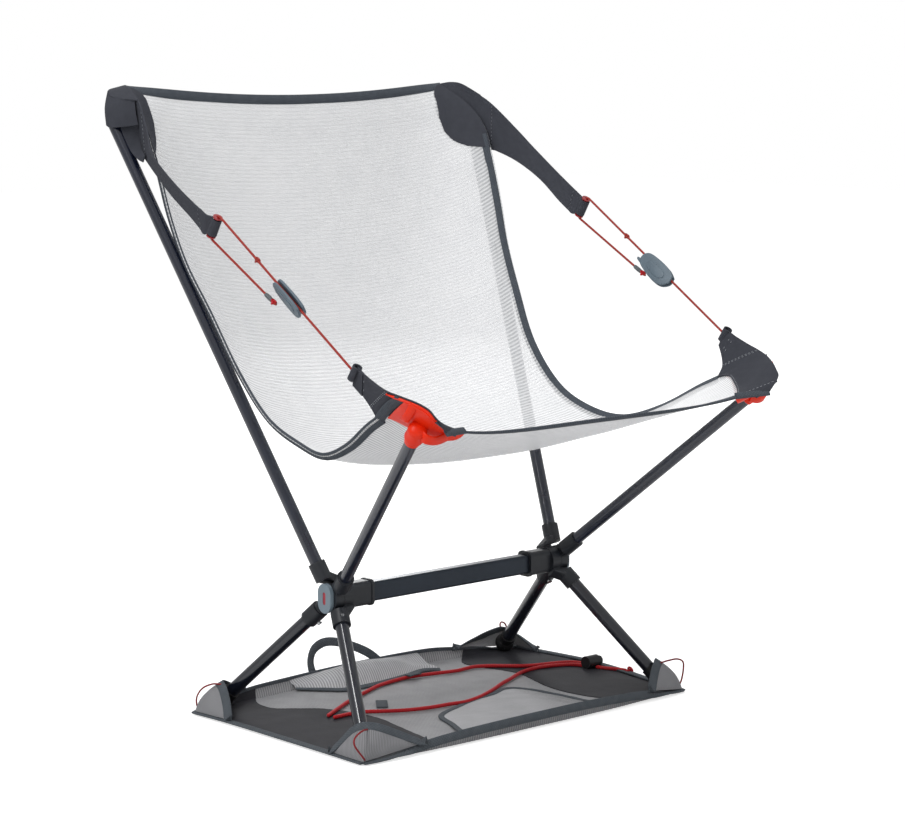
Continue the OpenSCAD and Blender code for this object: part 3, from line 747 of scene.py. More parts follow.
wingSpec = {
    "upper": [(210, 256, 634), (219, 255, 635), (223, 246, 636), (228, 234, 634), (233, 211, 623),
              (239, 195, 612), (248, 173, 591), (257, 152, 569), (258, 111, 540), (255, 68, 514)],
    "lower": [(199, 246, 608), (200, 242, 597), (206, 233, 580), (221, 219, 567), (230, 205, 564),
              (236, 193, 562), (246, 162, 549), (251, 128, 529), (249, 96, 507), (250, 77, 494)],
    "pocket": [[(214, 257, 632), (226, 256, 633), (238, 252, 632), (245, 245, 629), (246, 234, 624),
                (234, 214, 621)],
               [(212, 256, 618), (229, 256, 617), (242, 252, 615), (250, 243, 613), (251, 232, 610),
                (234, 212, 608)],
               [(212, 252, 602), (229, 254, 600), (242, 249, 598), (250, 241, 596), (250, 229, 594),
                (233, 210, 597)]],
    "webPole": [(244, 231, 606), (242, 226, 590), (239, 217, 572), (239, 204, 563), (242, 190, 560)],
    "webWing": [(234, 212, 606), (228, 216, 588), (230, 210, 574), (236, 197, 570), (241, 187, 567)],
    "bound": [(0, 0.972), (0.25, 0.93), (0.5, 0.9), (1.0, 0.872), (1.5, 0.856), (2.1, 0.862), (2.4, 0.885),
              (2.6, 0.925), (2.7, 0.995)],
    "thick": 1.3, "innerThick": 2.8, "sleeve": 17.5, "sleeveRadius": 4.5, "area": 0.0166,
    "seams": ((5, 0.06, 0.94), (8.7, 0.12, 0.88)), "seamGap": 0.12}


def clothBetween(name, upper, lower, across, steps, thick, material):
    # cloth between two smooth edges
    top, low = smoothLine(upper, steps), smoothLine(lower, steps)
    rows = [[a.lerp(b, j / across) for j in range(across + 1)] for a, b in zip(top, low)]
    return clothFromRows(name, rows, thick, material), rows


def stitchesAlong(name, line, facing, material, size=(2.4, 0.55), pitch=3.6):
    # a row of short threads that lie on the cloth
    total = lineLength(line)
    spots = evenLine(line, max(2, int(total / (pitch * mm))))
    points, faces, uvs = [], [], []
    for k, spot in enumerate(spots):
        ahead = aheadAt(spots, k)
        up = facing
        if isinstance(facing, list):
            up = facing[min(int(k / len(spots) * len(facing)), len(facing) - 1)]
        side = ahead.cross(up).normalized()
        start = len(points)
        half, thick = size[0] / 2 * mm, size[1] / 2 * mm
        for t, w in ((-1, 0.35), (-0.55, 1), (0.55, 1), (1, 0.35)):
            for a, b in ((-1, 0), (0, 1), (1, 0), (0, -1)):
                points.append(spot + ahead * half * t + side * thick * a * w + up * thick * b * w)
                uvs.append((a * thick, t * half))
        for r in range(3):
            for s in range(4):
                faces.append((start + r * 4 + s, start + r * 4 + (s + 1) % 4,
                              start + (r + 1) * 4 + (s + 1) % 4, start + (r + 1) * 4 + s))
        faces.append((start + 3, start + 2, start + 1, start))
        faces.append((start + 12, start + 13, start + 14, start + 15))
    piece = meshPiece(name, points, faces, uvs, material)
    pointOut(piece)
    return piece


def spanAt(table, value):
    for (a, b), (c, d) in zip(table, table[1:]):
        if value <= c:
            return b + (d - b) * (value - a) / (c - a)
    return table[-1][1]


def makeWing(handed, side):
    thick = wingSpec["thick"] * mm

    def between(label, first, second, across, steps, depth=thick):
        return clothBetween(handed + label, first, second, across, steps, depth, patchCloth)

    upper, lower = places(wingSpec["upper"], side), places(wingSpec["lower"], side)
    panel, rows = between("_panel", upper, lower, 14, 6)
    pocketRows = [smoothLine(places(row, side), 6) for row in wingSpec["pocket"]]
    pocketRows = [list(r) for r in zip(*[smoothLine(list(column), 4) for column in zip(*pocketRows)])]
    pocket = clothFromRows(handed + "_pocket", pocketRows, thick, patchCloth)

    # the sleeve at the strap's end is rolled round the red tube
    _, tube, _, up, _ = armPlaces(side)
    low, high = tube - up * wingSpec["sleeve"] / 2 * mm, tube + up * wingSpec["sleeve"] / 2 * mm
    along, outward = Vector((0, cordWay.y, cordWay.z)), Vector((side, 0, 0))
    ring = []
    for k in range(25):
        turn = math.radians(20 + 320 * k / 24)
        ring.append((along * math.cos(turn) + outward * math.sin(turn)) * wingSpec["sleeveRadius"] * mm)
    sleeve = clothFromRows(handed + "_sleeve", [[low + r, low.lerp(high, 0.5) + r, high + r] for r in ring],
                           thick, patchCloth)
    tongueTop = [ring[0] + high, upper[-1].lerp(high, 0.35), upper[-1], upper[-2].lerp(upper[-1], 0.8)]
    tongueLow = [ring[0] + low, lower[-1].lerp(low, 0.35), lower[-1], lower[-2].lerp(lower[-1], 0.8)]
    tongue, _ = between("_tongue", tongueTop, tongueLow, 6, 4, wingSpec["thick"] * 1.5 * mm)

    # the patch on the sling's corner, from its inner bound to the sling's edge
    inner = []
    for k in range(31):
        s = wingSpec["bound"][-1][0] * k / 30
        bound = spanAt(wingSpec["bound"], s)
        inner.append([slingPoint(s, side * (bound + (1.0 - bound) * j / 10)) for j in range(11)])
    inner = clothFromRows(handed + "_inner", inner, wingSpec["innerThick"] * mm, patchCloth)
    lid, _ = between("_lid", pocketRows[0][::max(1, len(pocketRows[0]) // 5)],
                     upper[:5] + [upper[4].lerp(upper[5], 0.1)], 8, 4)
    web, _ = between("_web", places(wingSpec["webPole"], side), places(wingSpec["webWing"], side), 8, 6)
    wing = joinPieces(handed + "_wing", [panel, pocket, sleeve, tongue, inner, lid, web])
    settle(wing, "back_frame", "patch_fabric", handed + "_wing_strap")

    # seams on both faces: two double rows across the strap, one along its upper edge
    threads = []
    onCloth = 0.55 * thick
    for mark, first, last in wingSpec["seams"]:
        for off in (0.0, wingSpec["seamGap"]):
            row = rows[min(int((mark + off) * 6), len(rows) - 1)]
            line = [row[0].lerp(row[-1], first + (last - first) * k / 10) for k in range(11)]
            k = int(mark * 6)
            face = (rows[k + 1][7] - rows[k - 1][7]).cross(row[-1] - row[0]).normalized()
            if face.x * side > 0:
                face = -face
            for sign in (1, -1):
                shifted = [p + face * sign * onCloth for p in line]
                threads.append(stitchesAlong(handed + "_thread", shifted, face * sign, threadGrey))
    edge = [row[0].lerp(row[-1], 0.07) for row in rows[2:34]]
    for sign in (1, -1):
        facing = [(rows[i + 1][3] - rows[i - 1][3]).cross(rows[i][5] - rows[i][1]).normalized() * sign
                  for i in range(2, 34)]
        shifted = [p + f * onCloth for p, f in zip(edge, facing)]
        threads.append(stitchesAlong(handed + "_thread", shifted, facing, tapeCloth))
    stitches = settle(joinPieces(handed + "_wing_stitches", threads), "back_frame", "patch_fabric")


# seat corners and the orange pockets

cornerSpec = {
    "outer": [(248, -155, 384), (250, -167, 378), (251, -183, 371.5), (251, -199, 366), (246, -215, 361.5),
              (239, -229, 356.5), (234, -238, 351), (232, -243, 345.5), (226, -244.5, 338.5),
              (218, -243, 329)],
    "innerFree": [(246, -148, 367), (242, -156, 356), (237.5, -161, 346)],
    "innerMarks": [(12.35, 1.0), (12.6, 0.985), (12.9, 0.962), (13.2, 0.925), (13.5, 0.885), (13.8, 0.842),
                   (14.0, 0.812)],
    "lift": 1.5, "lap": 0.9, "tabBack": 3.4, "tabRadius": 4.0, "tabLength": 15, "thick": 1.4,
    "strip": [(3.35, 1.02), (3.5, 0.7), (3.72, 0.35), (3.95, 0.04)], "stripWidth": 10, "hemWidth": 7,
    "seams": (((0.75, 0.3), (0.75, 0.7)), ((1.0, 0.3), (1.0, 0.7)), ((1.9, 0.97), (2.9, 0.05)),
              ((2.0, 0.99), (3.02, 0.05)), ((7.8, 0.1), (8.3, 0.75)), ((5.0, 0.96), (9.0, 0.96))),
    "rolledArea": 0.0018}
seatPoleSpec = {"foot": (149, 0, 131.6), "rise": 42.3, "splay": 15.5, "length": 290}


def lathe(name, base, way, profile, sides, material):
    # a turned shape: the profile gives distances along the way, and radii
    across = way.orthogonal().normalized()
    other = way.cross(across)
    points, uvs = [], []
    for along, radius in profile:
        for s in range(sides):
            turn = 2 * math.pi * s / sides
            points.append(base + way * along + (across * math.cos(turn) + other * math.sin(turn)) * radius)
            uvs.append((radius * turn, along))
    return ringPiece(name, points, uvs, sides, material, 35)


def seatPoleAxis(side):
    rise, splay = math.radians(seatPoleSpec["rise"]), math.radians(seatPoleSpec["splay"])
    way = Vector((side * math.sin(splay), -math.cos(splay) * math.cos(rise),
                  math.cos(splay) * math.sin(rise)))
    x, y, z = seatPoleSpec["foot"]
    return at(side * x, y, z), way


def cornerGrid(side):
    outer = smoothLine(places(cornerSpec["outer"], side), 6)
    inner = places(cornerSpec["innerFree"], side)
    for s, u in cornerSpec["innerMarks"]:
        lift = slingFacing(min(s, 13.75), side * min(u, 0.97)) * cornerSpec["lift"] * mm
        inner.append(slingPoint(s, side * u) + lift)
    inner = smoothLine(inner, 6)
    return [[a.lerp(b, j / 14) for j in range(15)] for a, b in zip(outer, inner)]


def gridSpot(rows, mark, share):
    # mark counts the spec's own columns, share runs from the outer edge to the inner one
    i, j = min(max(mark * 6, 0), len(rows) - 1.001), min(max(share * 14, 0), 13.999)
    a, b = int(i), int(j)
    front = rows[a][b].lerp(rows[a][b + 1], j - b)
    return front.lerp(rows[a + 1][b].lerp(rows[a + 1][b + 1], j - b), i - a)


def gridOut(rows, mark, share, side):
    # away from the sitter
    low, high = max(mark - 0.2, 0), min(mark + 0.2, 9)
    along = gridSpot(rows, high, share) - gridSpot(rows, low, share)
    across = gridSpot(rows, mark, min(share + 0.1, 1)) - gridSpot(rows, mark, max(share - 0.1, 0))
    out = along.cross(across).normalized()
    return out if out.dot(Vector((side, -0.4, -0.6))) > 0 else -out


def makeCorner(handed, side):
    rows = cornerGrid(side)
    thick = cornerSpec["thick"] * mm
    panel = clothFromRows(handed + "_panel", rows, thick, patchCloth)

    # the tab that holds the cord is rolled over and lapped back on the patch
    tab = armPlaces(side)[0]
    square, outward = Vector((0, -cordWay.z, cordWay.y)), Vector((side, 0, 0))
    middle = tab - cordWay * cornerSpec["tabBack"] * mm
    half = cornerSpec["tabLength"] / 2 * mm
    ring = []
    for k in range(25):
        turn = math.radians(-150 + 300 * k / 24)
        ring.append((cordWay * math.cos(turn) + outward * math.sin(turn)) * cornerSpec["tabRadius"] * mm)
    rolled = [[middle - square * half + r, middle + r, middle + square * half + r] for r in ring]
    rolled = clothFromRows(handed + "_rolled", rolled, thick, patchCloth)
    lap = []
    for i in range(7):
        mark, lift = cornerSpec["lap"] * i / 6, (3.2 - 2.2 * i / 6) * mm
        lap.append([gridSpot(rows, mark, j / 8) + gridOut(rows, max(mark, 0.2), j / 8, side) * lift
                    for j in range(9)])
    lap = clothFromRows(handed + "_lap", lap, thick, patchCloth)
    stripLine = [gridSpot(rows, m, v) + gridOut(rows, m, min(v, 0.95), side) * 1.6 * mm
                 for m, v in cornerSpec["strip"]]
    strip = bandAlong(handed + "_strip", smoothLine(stripLine, 5), gridOut(rows, 3.6, 0.5, side),
                      cornerSpec["stripWidth"] * mm, 1.5 * mm, tapeCloth)
    hem = bandAlong(handed + "_hem", rows[-1], gridOut(rows, 8.9, 0.5, side), cornerSpec["hemWidth"] * mm,
                    2.6 * mm, tapeCloth)
    corner = joinPieces(handed + "_corner", [panel, rolled, lap, strip, hem])
    settle(corner, "seat_frame", "patch_fabric", handed + "_seat_corner")

    threads = []
    for (m0, v0), (m1, v1) in cornerSpec["seams"]:
        for sign in (1, -1):
            line, facing = [], []
            for k in range(11):
                m, v = m0 + (m1 - m0) * k / 10, v0 + (v1 - v0) * k / 10
                face = gridOut(rows, m, v, side) * sign
                line.append(gridSpot(rows, m, v) + face * 0.55 * thick)
                facing.append(face)
            threads.append(stitchesAlong(handed + "_thread", line, facing, threadGrey))
    stitches = settle(joinPieces(handed + "_corner_stitches", threads), "seat_frame", "patch_fabric")
    round(clothArea(rows) + cornerSpec["rolledArea"], 5)
    return rows


pocketSpec = {
    "start": 4.25, "end": 7.3, "slant": 1.7, "lift": 2.4, "belly": 5.0, "sag": 9.5, "thick": 1.6, "rim": 1.5,
    "barrel": ((-3, 6.4), (-3, 7.3), (2, 7.7), (3, 8.9), (5, 9.4), (8, 9.0), (14, 8.9), (17, 9.3),
               (19.4, 8.4), (21.4, 6.4), (22.6, 3.6), (23, 1.0)),
    "fins": (([(4.85, 0.03, 2.5), (4.95, 0.22, 9), (5.05, 0.42, 12), (5.15, 0.62, 9)], 8),
             ([(6.1, 0.72, 8), (6.4, 0.54, 15), (7.0, 0.44, 19), (7.6, 0.5, 16), (8.1, 0.66, 8)], 10)),
    "finThick": 2.2, "tongueWidth": 8}


def makePocket(handed, side, rows):
    def lifted(mark, share, lift):
        return gridSpot(rows, mark, share) + gridOut(rows, mark, share, side) * lift * mm

    shell = []
    for i in range(29):
        t = i / 28
        line = []
        for j in range(15):
            v = 0.04 + 0.96 * j / 14
            first, last = pocketSpec["start"], pocketSpec["end"] + pocketSpec["slant"] * v
            mark = first + (last - first) * t
            out = gridOut(rows, mark, min(v, 0.95), side)
            swell = pocketSpec["belly"] * math.sin(math.pi * v) ** 0.8 * math.sin(math.pi * t) ** 0.6
            sag = pocketSpec["sag"] * v * v * math.sin(math.pi * t ** 1.3)
            line.append(gridSpot(rows, mark, v) + out * (pocketSpec["lift"] + swell) * mm -
                        Vector((0, 0, sag * mm)))
        shell.append(line)
    panel = clothFromRows(handed + "_shell", shell, pocketSpec["thick"] * mm, pocketOrange)
    rim = tubeAlong(handed + "_rim", [lifted(3.15 + 4.2 * k / 30, 0.05, 1.7) for k in range(31)],
                    pocketSpec["rim"] * mm, 10, pocketOrange,
                    swell=lambda t: min(1, 0.35 + 6 * min(t, 1 - t)))
    foot, way = seatPoleAxis(side)
    profile = [((seatPoleSpec["length"] + a) * mm, r * mm) for a, r in pocketSpec["barrel"]]
    barrel = lathe(handed + "_barrel", foot, way, profile, 36, pocketOrange)
    fins = []
    for bend, width in pocketSpec["fins"]:
        line = evenLine(smoothLine([lifted(*spot) for spot in bend], 8), 26)
        face = (line[13] - (line[0] + line[-1]) * 0.5).normalized()
        fins.append(bandAlong(handed + "_fin", line, face, width * mm, pocketSpec["finThick"] * mm,
                              pocketOrange))
    tongueLine = [gridSpot(rows, 7.2 + 1.8 * k / 10, 0.1 + 0.35 * k / 10) +
                  gridOut(rows, 7.6, 0.3, side) * 2.6 * mm for k in range(11)]
    tongue = bandAlong(handed + "_tongue", tongueLine, gridOut(rows, 7.8, 0.3, side),
                       pocketSpec["tongueWidth"] * mm, 1.6 * mm, tapeCloth)
    pocket = joinPieces(handed + "_corner_pocket", [panel, rim, barrel, *fins, tongue])
    settle(pocket, "seat_frame", "pocket_orange", handed + "_pole_pocket")


# adjusters, knots and sleeves

adjusterSpec = {
    "outline": [(-19, -8), (-21, 1), (-15, 10), (-4, 12.5), (9, 11), (19, 7), (21.5, -2), (17, -9),
                (5, -11.5), (-10, -11.5)],
    "bridge": [(-12, 5.0), (10, 5.0), (12, 8), (-2, 11), (-11, 9)],
    "lug": [(17, 2.5), (8, 2.2), (9, 6), (16, 8), (24, 7), (25, 4)],
    "plate": 2.6, "gap": 3.2, "roll": 34, "long": 1.12, "deep": 0.88, "drop": 3.0, "bevel": 0.7,
    "sleeve": 2.1, "tie": 3.1, "stopper": 3.0}


def plateShape(name, outline, low, high, place, material):
    # a flat plate with rounded rims, cut to a smooth outline
    ring = smoothLine([Vector((a, b, 0)) for a, b in outline] + [Vector((*outline[0], 0))], 5)[:-1]
    deselect()
    bpy.ops.mesh.primitive_circle_add(vertices=len(ring), radius=1, fill_type="NGON")
    plate = bpy.context.view_layer.objects.active
    plate.name = name
    for vertex, spot in zip(plate.data.vertices, ring):
        vertex.co = (spot.x, spot.y, low)
    bpy.ops.object.mode_set(mode="EDIT")
    bpy.ops.mesh.select_all(action="SELECT")
    bpy.ops.mesh.extrude_region_move(TRANSFORM_OT_translate={"value": (0, 0, high - low)})
    bpy.ops.mesh.select_all(action="SELECT")
    bpy.ops.mesh.normals_make_consistent(inside=False)
    bpy.ops.object.mode_set(mode="OBJECT")
    applyModifier(plate, "BEVEL", width=adjusterSpec["bevel"], segments=3, limit_method="ANGLE",
                  angle_limit=math.radians(60))
    plate.data.materials.append(material)
    for vertex in plate.data.vertices:
        vertex.co = place(vertex.co)
    pointOut(plate)
    smoothShade(plate, 40)
    return plate


def makeAdjuster(handed, side):
    tab, tube, tail, up, reach = armPlaces(side)
    way = (tube + up * reach - tab).normalized()
    down, outward = Vector((0, way.z, -way.y)), Vector((side, 0, 0))
    middle = tab + way * armSpec["adjuster"] * mm
    roll = math.radians(adjusterSpec["roll"])
    flat = outward * math.cos(roll) + down * math.sin(roll)
    drop = down * math.cos(roll) - outward * math.sin(roll)

    def place(p):
        below = p.y * adjusterSpec["deep"] + adjusterSpec["drop"]
        return middle + (way * p.x * adjusterSpec["long"] + drop * below + flat * p.z) * mm

    plates = []

    def addPlate(label, outline, first, second):
        low, high = sorted((first, second))
        plates.append(plateShape(handed + label, outline, low, high, place, adjusterGrey))

    half = adjusterSpec["gap"] / 2
    outer = half + adjusterSpec["plate"]
    raised = [(a * 0.55 - 1, b * 0.5 + 1) for a, b in adjusterSpec["outline"]]
    for sign in (1, -1):
        addPlate("_plate", adjusterSpec["outline"], sign * half, sign * outer)
        addPlate("_rise", raised, sign * (outer - 0.5), sign * (outer + 0.7))
    addPlate("_bridge", adjusterSpec["bridge"], -half - 0.4, half + 0.4)
    addPlate("_lug", adjusterSpec["lug"], -half, half)
    adjuster = joinPieces(handed + "_cord_adjuster", plates)
    settle(adjuster, handed + "_adjuster", "adjuster_plastic", handed + "_adjuster")

    # the return cord's tied end in its sleeve, and the stopper knot further up
    back = (tube - up * reach - tail).normalized()
    sleeveLine = [tail + back * (7.2 + 9.8 * k / 12) * mm for k in range(13)]
    sleeve = tubeAlong(handed + "_sleeve", sleeveLine, adjusterSpec["sleeve"] * mm, 12, sleeveBraid,
                       swell=lambda t: 1.0 + 0.12 * math.sin(math.pi * t))
    tie = makeKnot(handed + "_tie", tail + back * 4.0 * mm, back, adjusterSpec["tie"], drawBraid)
    ends = joinPieces(handed + "_cord_end", [sleeve, tie])
    settle(ends, handed + "_adjuster", "cord_end", handed + "_cord_sleeve")
    knot = makeKnot(handed + "_knot", tab + way * armSpec["knot"] * mm, way, adjusterSpec["stopper"],
                    thinBraid)
    settle(knot, handed + "_cord", "thin_cord", handed + "_stopper_knot")


knotSpec = {"shape": (0.95, 0.75, 0.6), "strand": 1.15}


def makeKnot(name, middle, way, size, material):
    # an overhand knot: a trefoil turn of the cord, drawn tight along its own way
    across = way.orthogonal().normalized()
    other = way.cross(across)
    line = []
    along, wide, deep = knotSpec["shape"]
    for k in range(72):
        t = 2 * math.pi * k / 72
        a = (math.sin(t) + 2 * math.sin(2 * t)) / 3
        b = (math.cos(t) - 2 * math.cos(2 * t)) / 3
        c = -math.sin(3 * t) / 1.6
        line.append(middle + (way * a * along + across * b * wide + other * c * deep) * size * mm)
    return tubeAlong(name, line, knotSpec["strand"] * mm, 8, material)


for handed, side in hands:
    makeWing(handed, side)
    makePocket(handed, side, makeCorner(handed, side))
    makeAdjuster(handed, side)
print("wings, corners, pockets and adjusters made")


# ground sheet, which is also the carry sack

groundSpec = {
    "front": [(-226, -133, 1.6), (-207, -135, 1.8), (-189, -136.5, 3.2), (-154, -139, 9.5),
              (-111, -141, 12.6), (-51, -142, 14), (4, -142, 14.2), (57, -142, 14), (113, -141, 12),
              (147, -139, 9.5), (185, -136.5, 3.4), (198, -135, 2), (211, -134, 1.6)],
    "rear": [(-229, 131, 1.6), (-205, 136, 3), (-180, 139, 8), (-150, 141, 12), (-100, 143, 13.6),
             (-50, 145, 14.6), (0, 146, 15), (50, 146, 15), (100, 145, 14), (140, 142, 10), (175, 139, 6),
             (200, 136.5, 2.4), (223, 134, 1.6)],
    "near": [(-226, -133, 1.6), (-227, -84, 2.4), (-226.5, -20, 2.2), (-227.5, 72, 2.4), (-229, 131, 1.6)],
    "far": [(211, -134, 1.6), (217, -74, 3), (223, -34, 3.2), (227, 8, 3.2), (228, 38, 3), (226, 70, 2.6),
            (223, 100, 2.4), (223, 134, 1.6)],
    "nearPanel": [(-133, -146), (-138, -143), (-125, -118), (-113, -60), (-105, -14), (-109, 20), (-125, 60),
                  (-148, 80), (-160, 95), (-160, 119), (-143, 146)],
    "farPanel": [(150, -146), (145, -143), (122, -103), (113, -50), (121, -10), (134, 34), (130, 62),
                 (122, 90), (121, 112), (138, 134), (152, 148)],
    "floor": 1.0, "wall": 3.4, "thick": 0.7, "wrinkle": 0.5, "panelLift": 0.75, "along": 84, "panelAlong": 26,
    "across": 60}
groundEdges = {label: smoothLine([Vector(p) for p in groundSpec[label]], 8)
               for label in ("front", "rear", "near", "far")}


def crossAt(line, value, axis):
    # the point of a curve where it crosses a value of x or y
    for a, b in zip(line, line[1:]):
        if (a[axis] - value) * (b[axis] - value) <= 0 and a[axis] != b[axis]:
            return a.lerp(b, (value - a[axis]) / (b[axis] - a[axis]))
    return (line[0] if abs(line[0][axis] - value) < abs(line[-1][axis] - value) else line[-1]).copy()


def groundEnds(x):
    return crossAt(groundEdges["front"], x, 0), crossAt(groundEdges["rear"], x, 0)


def groundHeight(x, y):
    # two low walls at the front and rear, and soft wrinkles on the floor between them
    front, rear = groundEnds(x)
    for edge, inside in ((front, y - front.y), (rear, rear.y - y)):
        if inside < groundSpec["wall"]:
            rise = 1 - max(inside, 0) / groundSpec["wall"]
            return groundSpec["floor"] + (edge.z - groundSpec["floor"]) * rise ** 0.8
    fade = min(1.0, (y - front.y) / 22, (rear.y - y) / 22)
    ripple = noise.noise(Vector((x / 34, y / 26, 3.1))) + 0.5 * noise.noise(Vector((x / 12, y / 15, 9.4)))
    return groundSpec["floor"] + groundSpec["wrinkle"] * fade * max(0.0, 0.55 + ripple)


def groundRows(lowX, highX, acrossX, lift=0.0):
    # lowX and highX give the sheet's ends at a share of its depth
    rows = []
    last = groundSpec["across"]
    for i in range(acrossX + 1):
        row = []
        a = i / acrossX
        for j in range(last + 1):
            share = j / last + 0.03 * math.sin(-2 * math.pi * j / last)
            front, rear = groundEnds(lowX(share) * (1 - a) + highX(share) * a)
            span = rear.y - front.y
            wall = groundSpec["wall"] / span
            # three short steps up each wall, and even ones between them
            if j <= 3:
                share = wall * j / 3
            elif j >= last - 3:
                share = 1 - wall * (last - j) / 3
            else:
                share = wall + (1 - 2 * wall) * (j - 3) / (last - 6)
            x, y = lowX(share) * (1 - a) + highX(share) * a, front.y + span * share
            row.append(at(x, y, groundHeight(x, y) + lift))
        rows.append(row)
    return rows


def edgeX(label):
    line = groundEdges[label]

    def value(b):
        return crossAt(line, line[0].y + (line[-1].y - line[0].y) * b, 1).x
    return value


def boundX(label):
    line = smoothLine([Vector((x, y, 0)) for x, y in groundSpec[label]], 8)

    def value(b):
        return crossAt(line, -142 + 286 * b, 1).x
    return value


def onSheet(piece, slotName, *nodes):
    return settle(piece, "ground_sheet", slotName, *nodes)


thickSheet = groundSpec["thick"] * mm
groundMesh = clothFromRows("ground_mesh", groundRows(edgeX("near"), edgeX("far"), groundSpec["along"]),
                           thickSheet, sheetMesh)
onSheet(groundMesh, "sheet_mesh", "ground_panel")
for label, low, high in (("right", edgeX("near"), boundX("nearPanel")),
                         ("left", boundX("farPanel"), edgeX("far"))):
    endRows = groundRows(low, high, groundSpec["panelAlong"], groundSpec["panelLift"])
    end = onSheet(clothFromRows(label + "_end_cloth", endRows, thickSheet, panelCloth), "panel_fabric")
    clothArea(endRows)
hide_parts("end_panels")


def bindEdge(name, line, facing, width, thick):
    return bandAlong(name, line, facing, width * mm, thick * mm, sheetTape)


bindSpec = {"width": 8.6, "thick": 1.8, "arch": 9.0, "flap": 6.5, "pocket": 6.2, "fine": 1.5}
ringPoints, ringFacing = [], []
outward = {"front": Vector((0, -1, 0.25)), "far": Vector((0.25, 0, 1)), "rear": Vector((0, 1, 0.25)),
           "near": Vector((-0.25, 0, 1))}
for label, flip in (("front", False), ("far", False), ("rear", True), ("near", True)):
    edge = groundEdges[label][::-1] if flip else groundEdges[label]
    for p in edge[:-1]:
        # the tape turns outwards where the edge stands up
        steep = min(1.0, max(0.0, (p.z - 3) / 6)) if label in ("front", "rear") else 0.0
        face = Vector((0, 0, 1)).lerp(outward[label].normalized(), steep).normalized()
        ringPoints.append(at(p.x, p.y, p.z - 2.0 * steep + 0.4))
        ringFacing.append(face)
ringPoints.append(ringPoints[0].copy())
ringFacing.append(ringFacing[0].copy())
binding = bindEdge("sheet_binding_tape", ringPoints, ringFacing, bindSpec["width"], bindSpec["thick"])
onSheet(binding, "sheet_tape", "sheet_binding")

# each corner pocket: the arch of its open edge, the sheet's corner, and how far it bulges
gussetSpec = {
    "nearFront": ([(-228, -84, 3), (-221, -95, 17), (-216, -107, 30), (-211, -118, 35), (-200, -127, 33),
                   (-178, -132, 23), (-152, -140, 10)], (-226, -133, 1.6), 7),
    "farFront": ([(217, -80, 3), (212, -92, 18), (203, -103, 29), (193, -114, 34), (180, -122, 29),
                  (168, -130, 19), (157, -138, 9)], (211, -134, 1.6), 8),
    "nearRear": ([(-228, 72, 3), (-219, 87, 17), (-211, 104, 29), (-204, 119, 32), (-192, 129, 28),
                  (-176, 135, 20), (-158, 140, 13)], (-229, 131, 1.6), 8),
    "farRear": ([(219, 96, 3), (216, 112, 12), (212, 127, 20), (203, 136, 25), (187, 139, 23), (160, 140, 17),
                 (132, 141, 11)], (223, 134, 1.6), 9)}
gussetShape = {"foot": 1.6, "thick": 0.8, "dent": 0.9, "out": 0.5, "up": 0.35, "bandIn": 2.5,
               "away": (0.62, 0.78)}
bandPieces, meshPieces = [], []
for label, (arch, corner, bulge) in gussetSpec.items():
    top = evenLine(smoothLine(places(arch), 8), 33)
    tip = at(*corner)
    foot = []
    for k in range(33):
        t = k / 16
        spot = top[0].lerp(tip, t) if t < 1 else tip.lerp(top[-1], t - 1)
        foot.append(spot + Vector((0, 0, gussetShape["foot"] * mm)))
    awayX, awayY = gussetShape["away"]
    away = Vector((math.copysign(awayX, tip.x), math.copysign(awayY, tip.y), 0))
    rows = []
    for k in range(33):
        row = []
        for j in range(11):
            t = j / 10
            lift = math.sin(math.pi * t) * math.sin(math.pi * k / 32)
            swell = bulge * mm * lift
            dent = noise.noise(Vector((top[k].x * 60, top[k].y * 60, t * 3))) * mm * lift
            out = swell * gussetShape["out"] + dent * gussetShape["dent"]
            row.append(top[k].lerp(foot[k], t) + away * out + Vector((0, 0, swell * gussetShape["up"])))
        rows.append(row)
    meshPieces.append(clothFromRows(label + "_gusset", rows, gussetShape["thick"] * mm, gussetMesh))
    archFacing, lowered = [], []
    for k, spot in enumerate(top):
        down = (rows[k][1] - rows[k][0]).normalized()
        archFacing.append(aheadAt(top, k).cross(-down).normalized())
        lowered.append(spot + down * gussetShape["bandIn"] * mm)
    bandPieces.append(bindEdge(label + "_band", lowered, archFacing, bindSpec["arch"], bindSpec["thick"]))
gussets = onSheet(joinPieces("gusset_cloth", meshPieces), "sheet_mesh", "corner_gussets")
bands = onSheet(joinPieces("gusset_bands", bandPieces), "sheet_tape", "corner_bands")

# flap that lies over the sheet from its back edge, with a loose belly
flapSpec = {"rear": [(-98, 143, 13), (-70, 144, 14), (-45, 145, 14.6), (-10, 146, 15), (30, 146, 15),
                     (62, 146, 14.8), (82, 145, 14)],
            "belly": [(-97, 140, 9), (-70, 134, 12), (-45, 130, 18), (-10, 128, 21.5), (30, 128, 18),
                      (60, 128, 9), (80, 124, 6)],
            "front": [(-95, 135, 4), (-72, 112, 3.4), (-55, 98, 3.2), (-16, 96, 3.4), (27, 101, 3.6),
                      (60, 108, 3.8), (77, 100, 3.2)]}
flapCurves = [smoothLine(places(flapSpec[label]), 6) for label in ("rear", "belly", "front")]
flapRows = []
for rear, belly, front in zip(*flapCurves):
    flapRows.append(smoothLine([rear, belly, belly.lerp(front, 0.5) + Vector((0, 0, 1.2 * mm)), front], 5))
flap = onSheet(clothFromRows("flap_cloth", flapRows, thickSheet, pocketMesh), "sheet_mesh", "mesh_flap")
flapEdge = [p + Vector((0, 0, 0.6 * mm)) for p in flapCurves[2]]
flapFacing = Vector((0, -0.3, 1)).normalized()
flapTape = bindEdge("flap_tape", flapEdge, flapFacing, bindSpec["flap"], bindSpec["fine"])
onSheet(flapTape, "sheet_tape")
clothArea(flapRows)

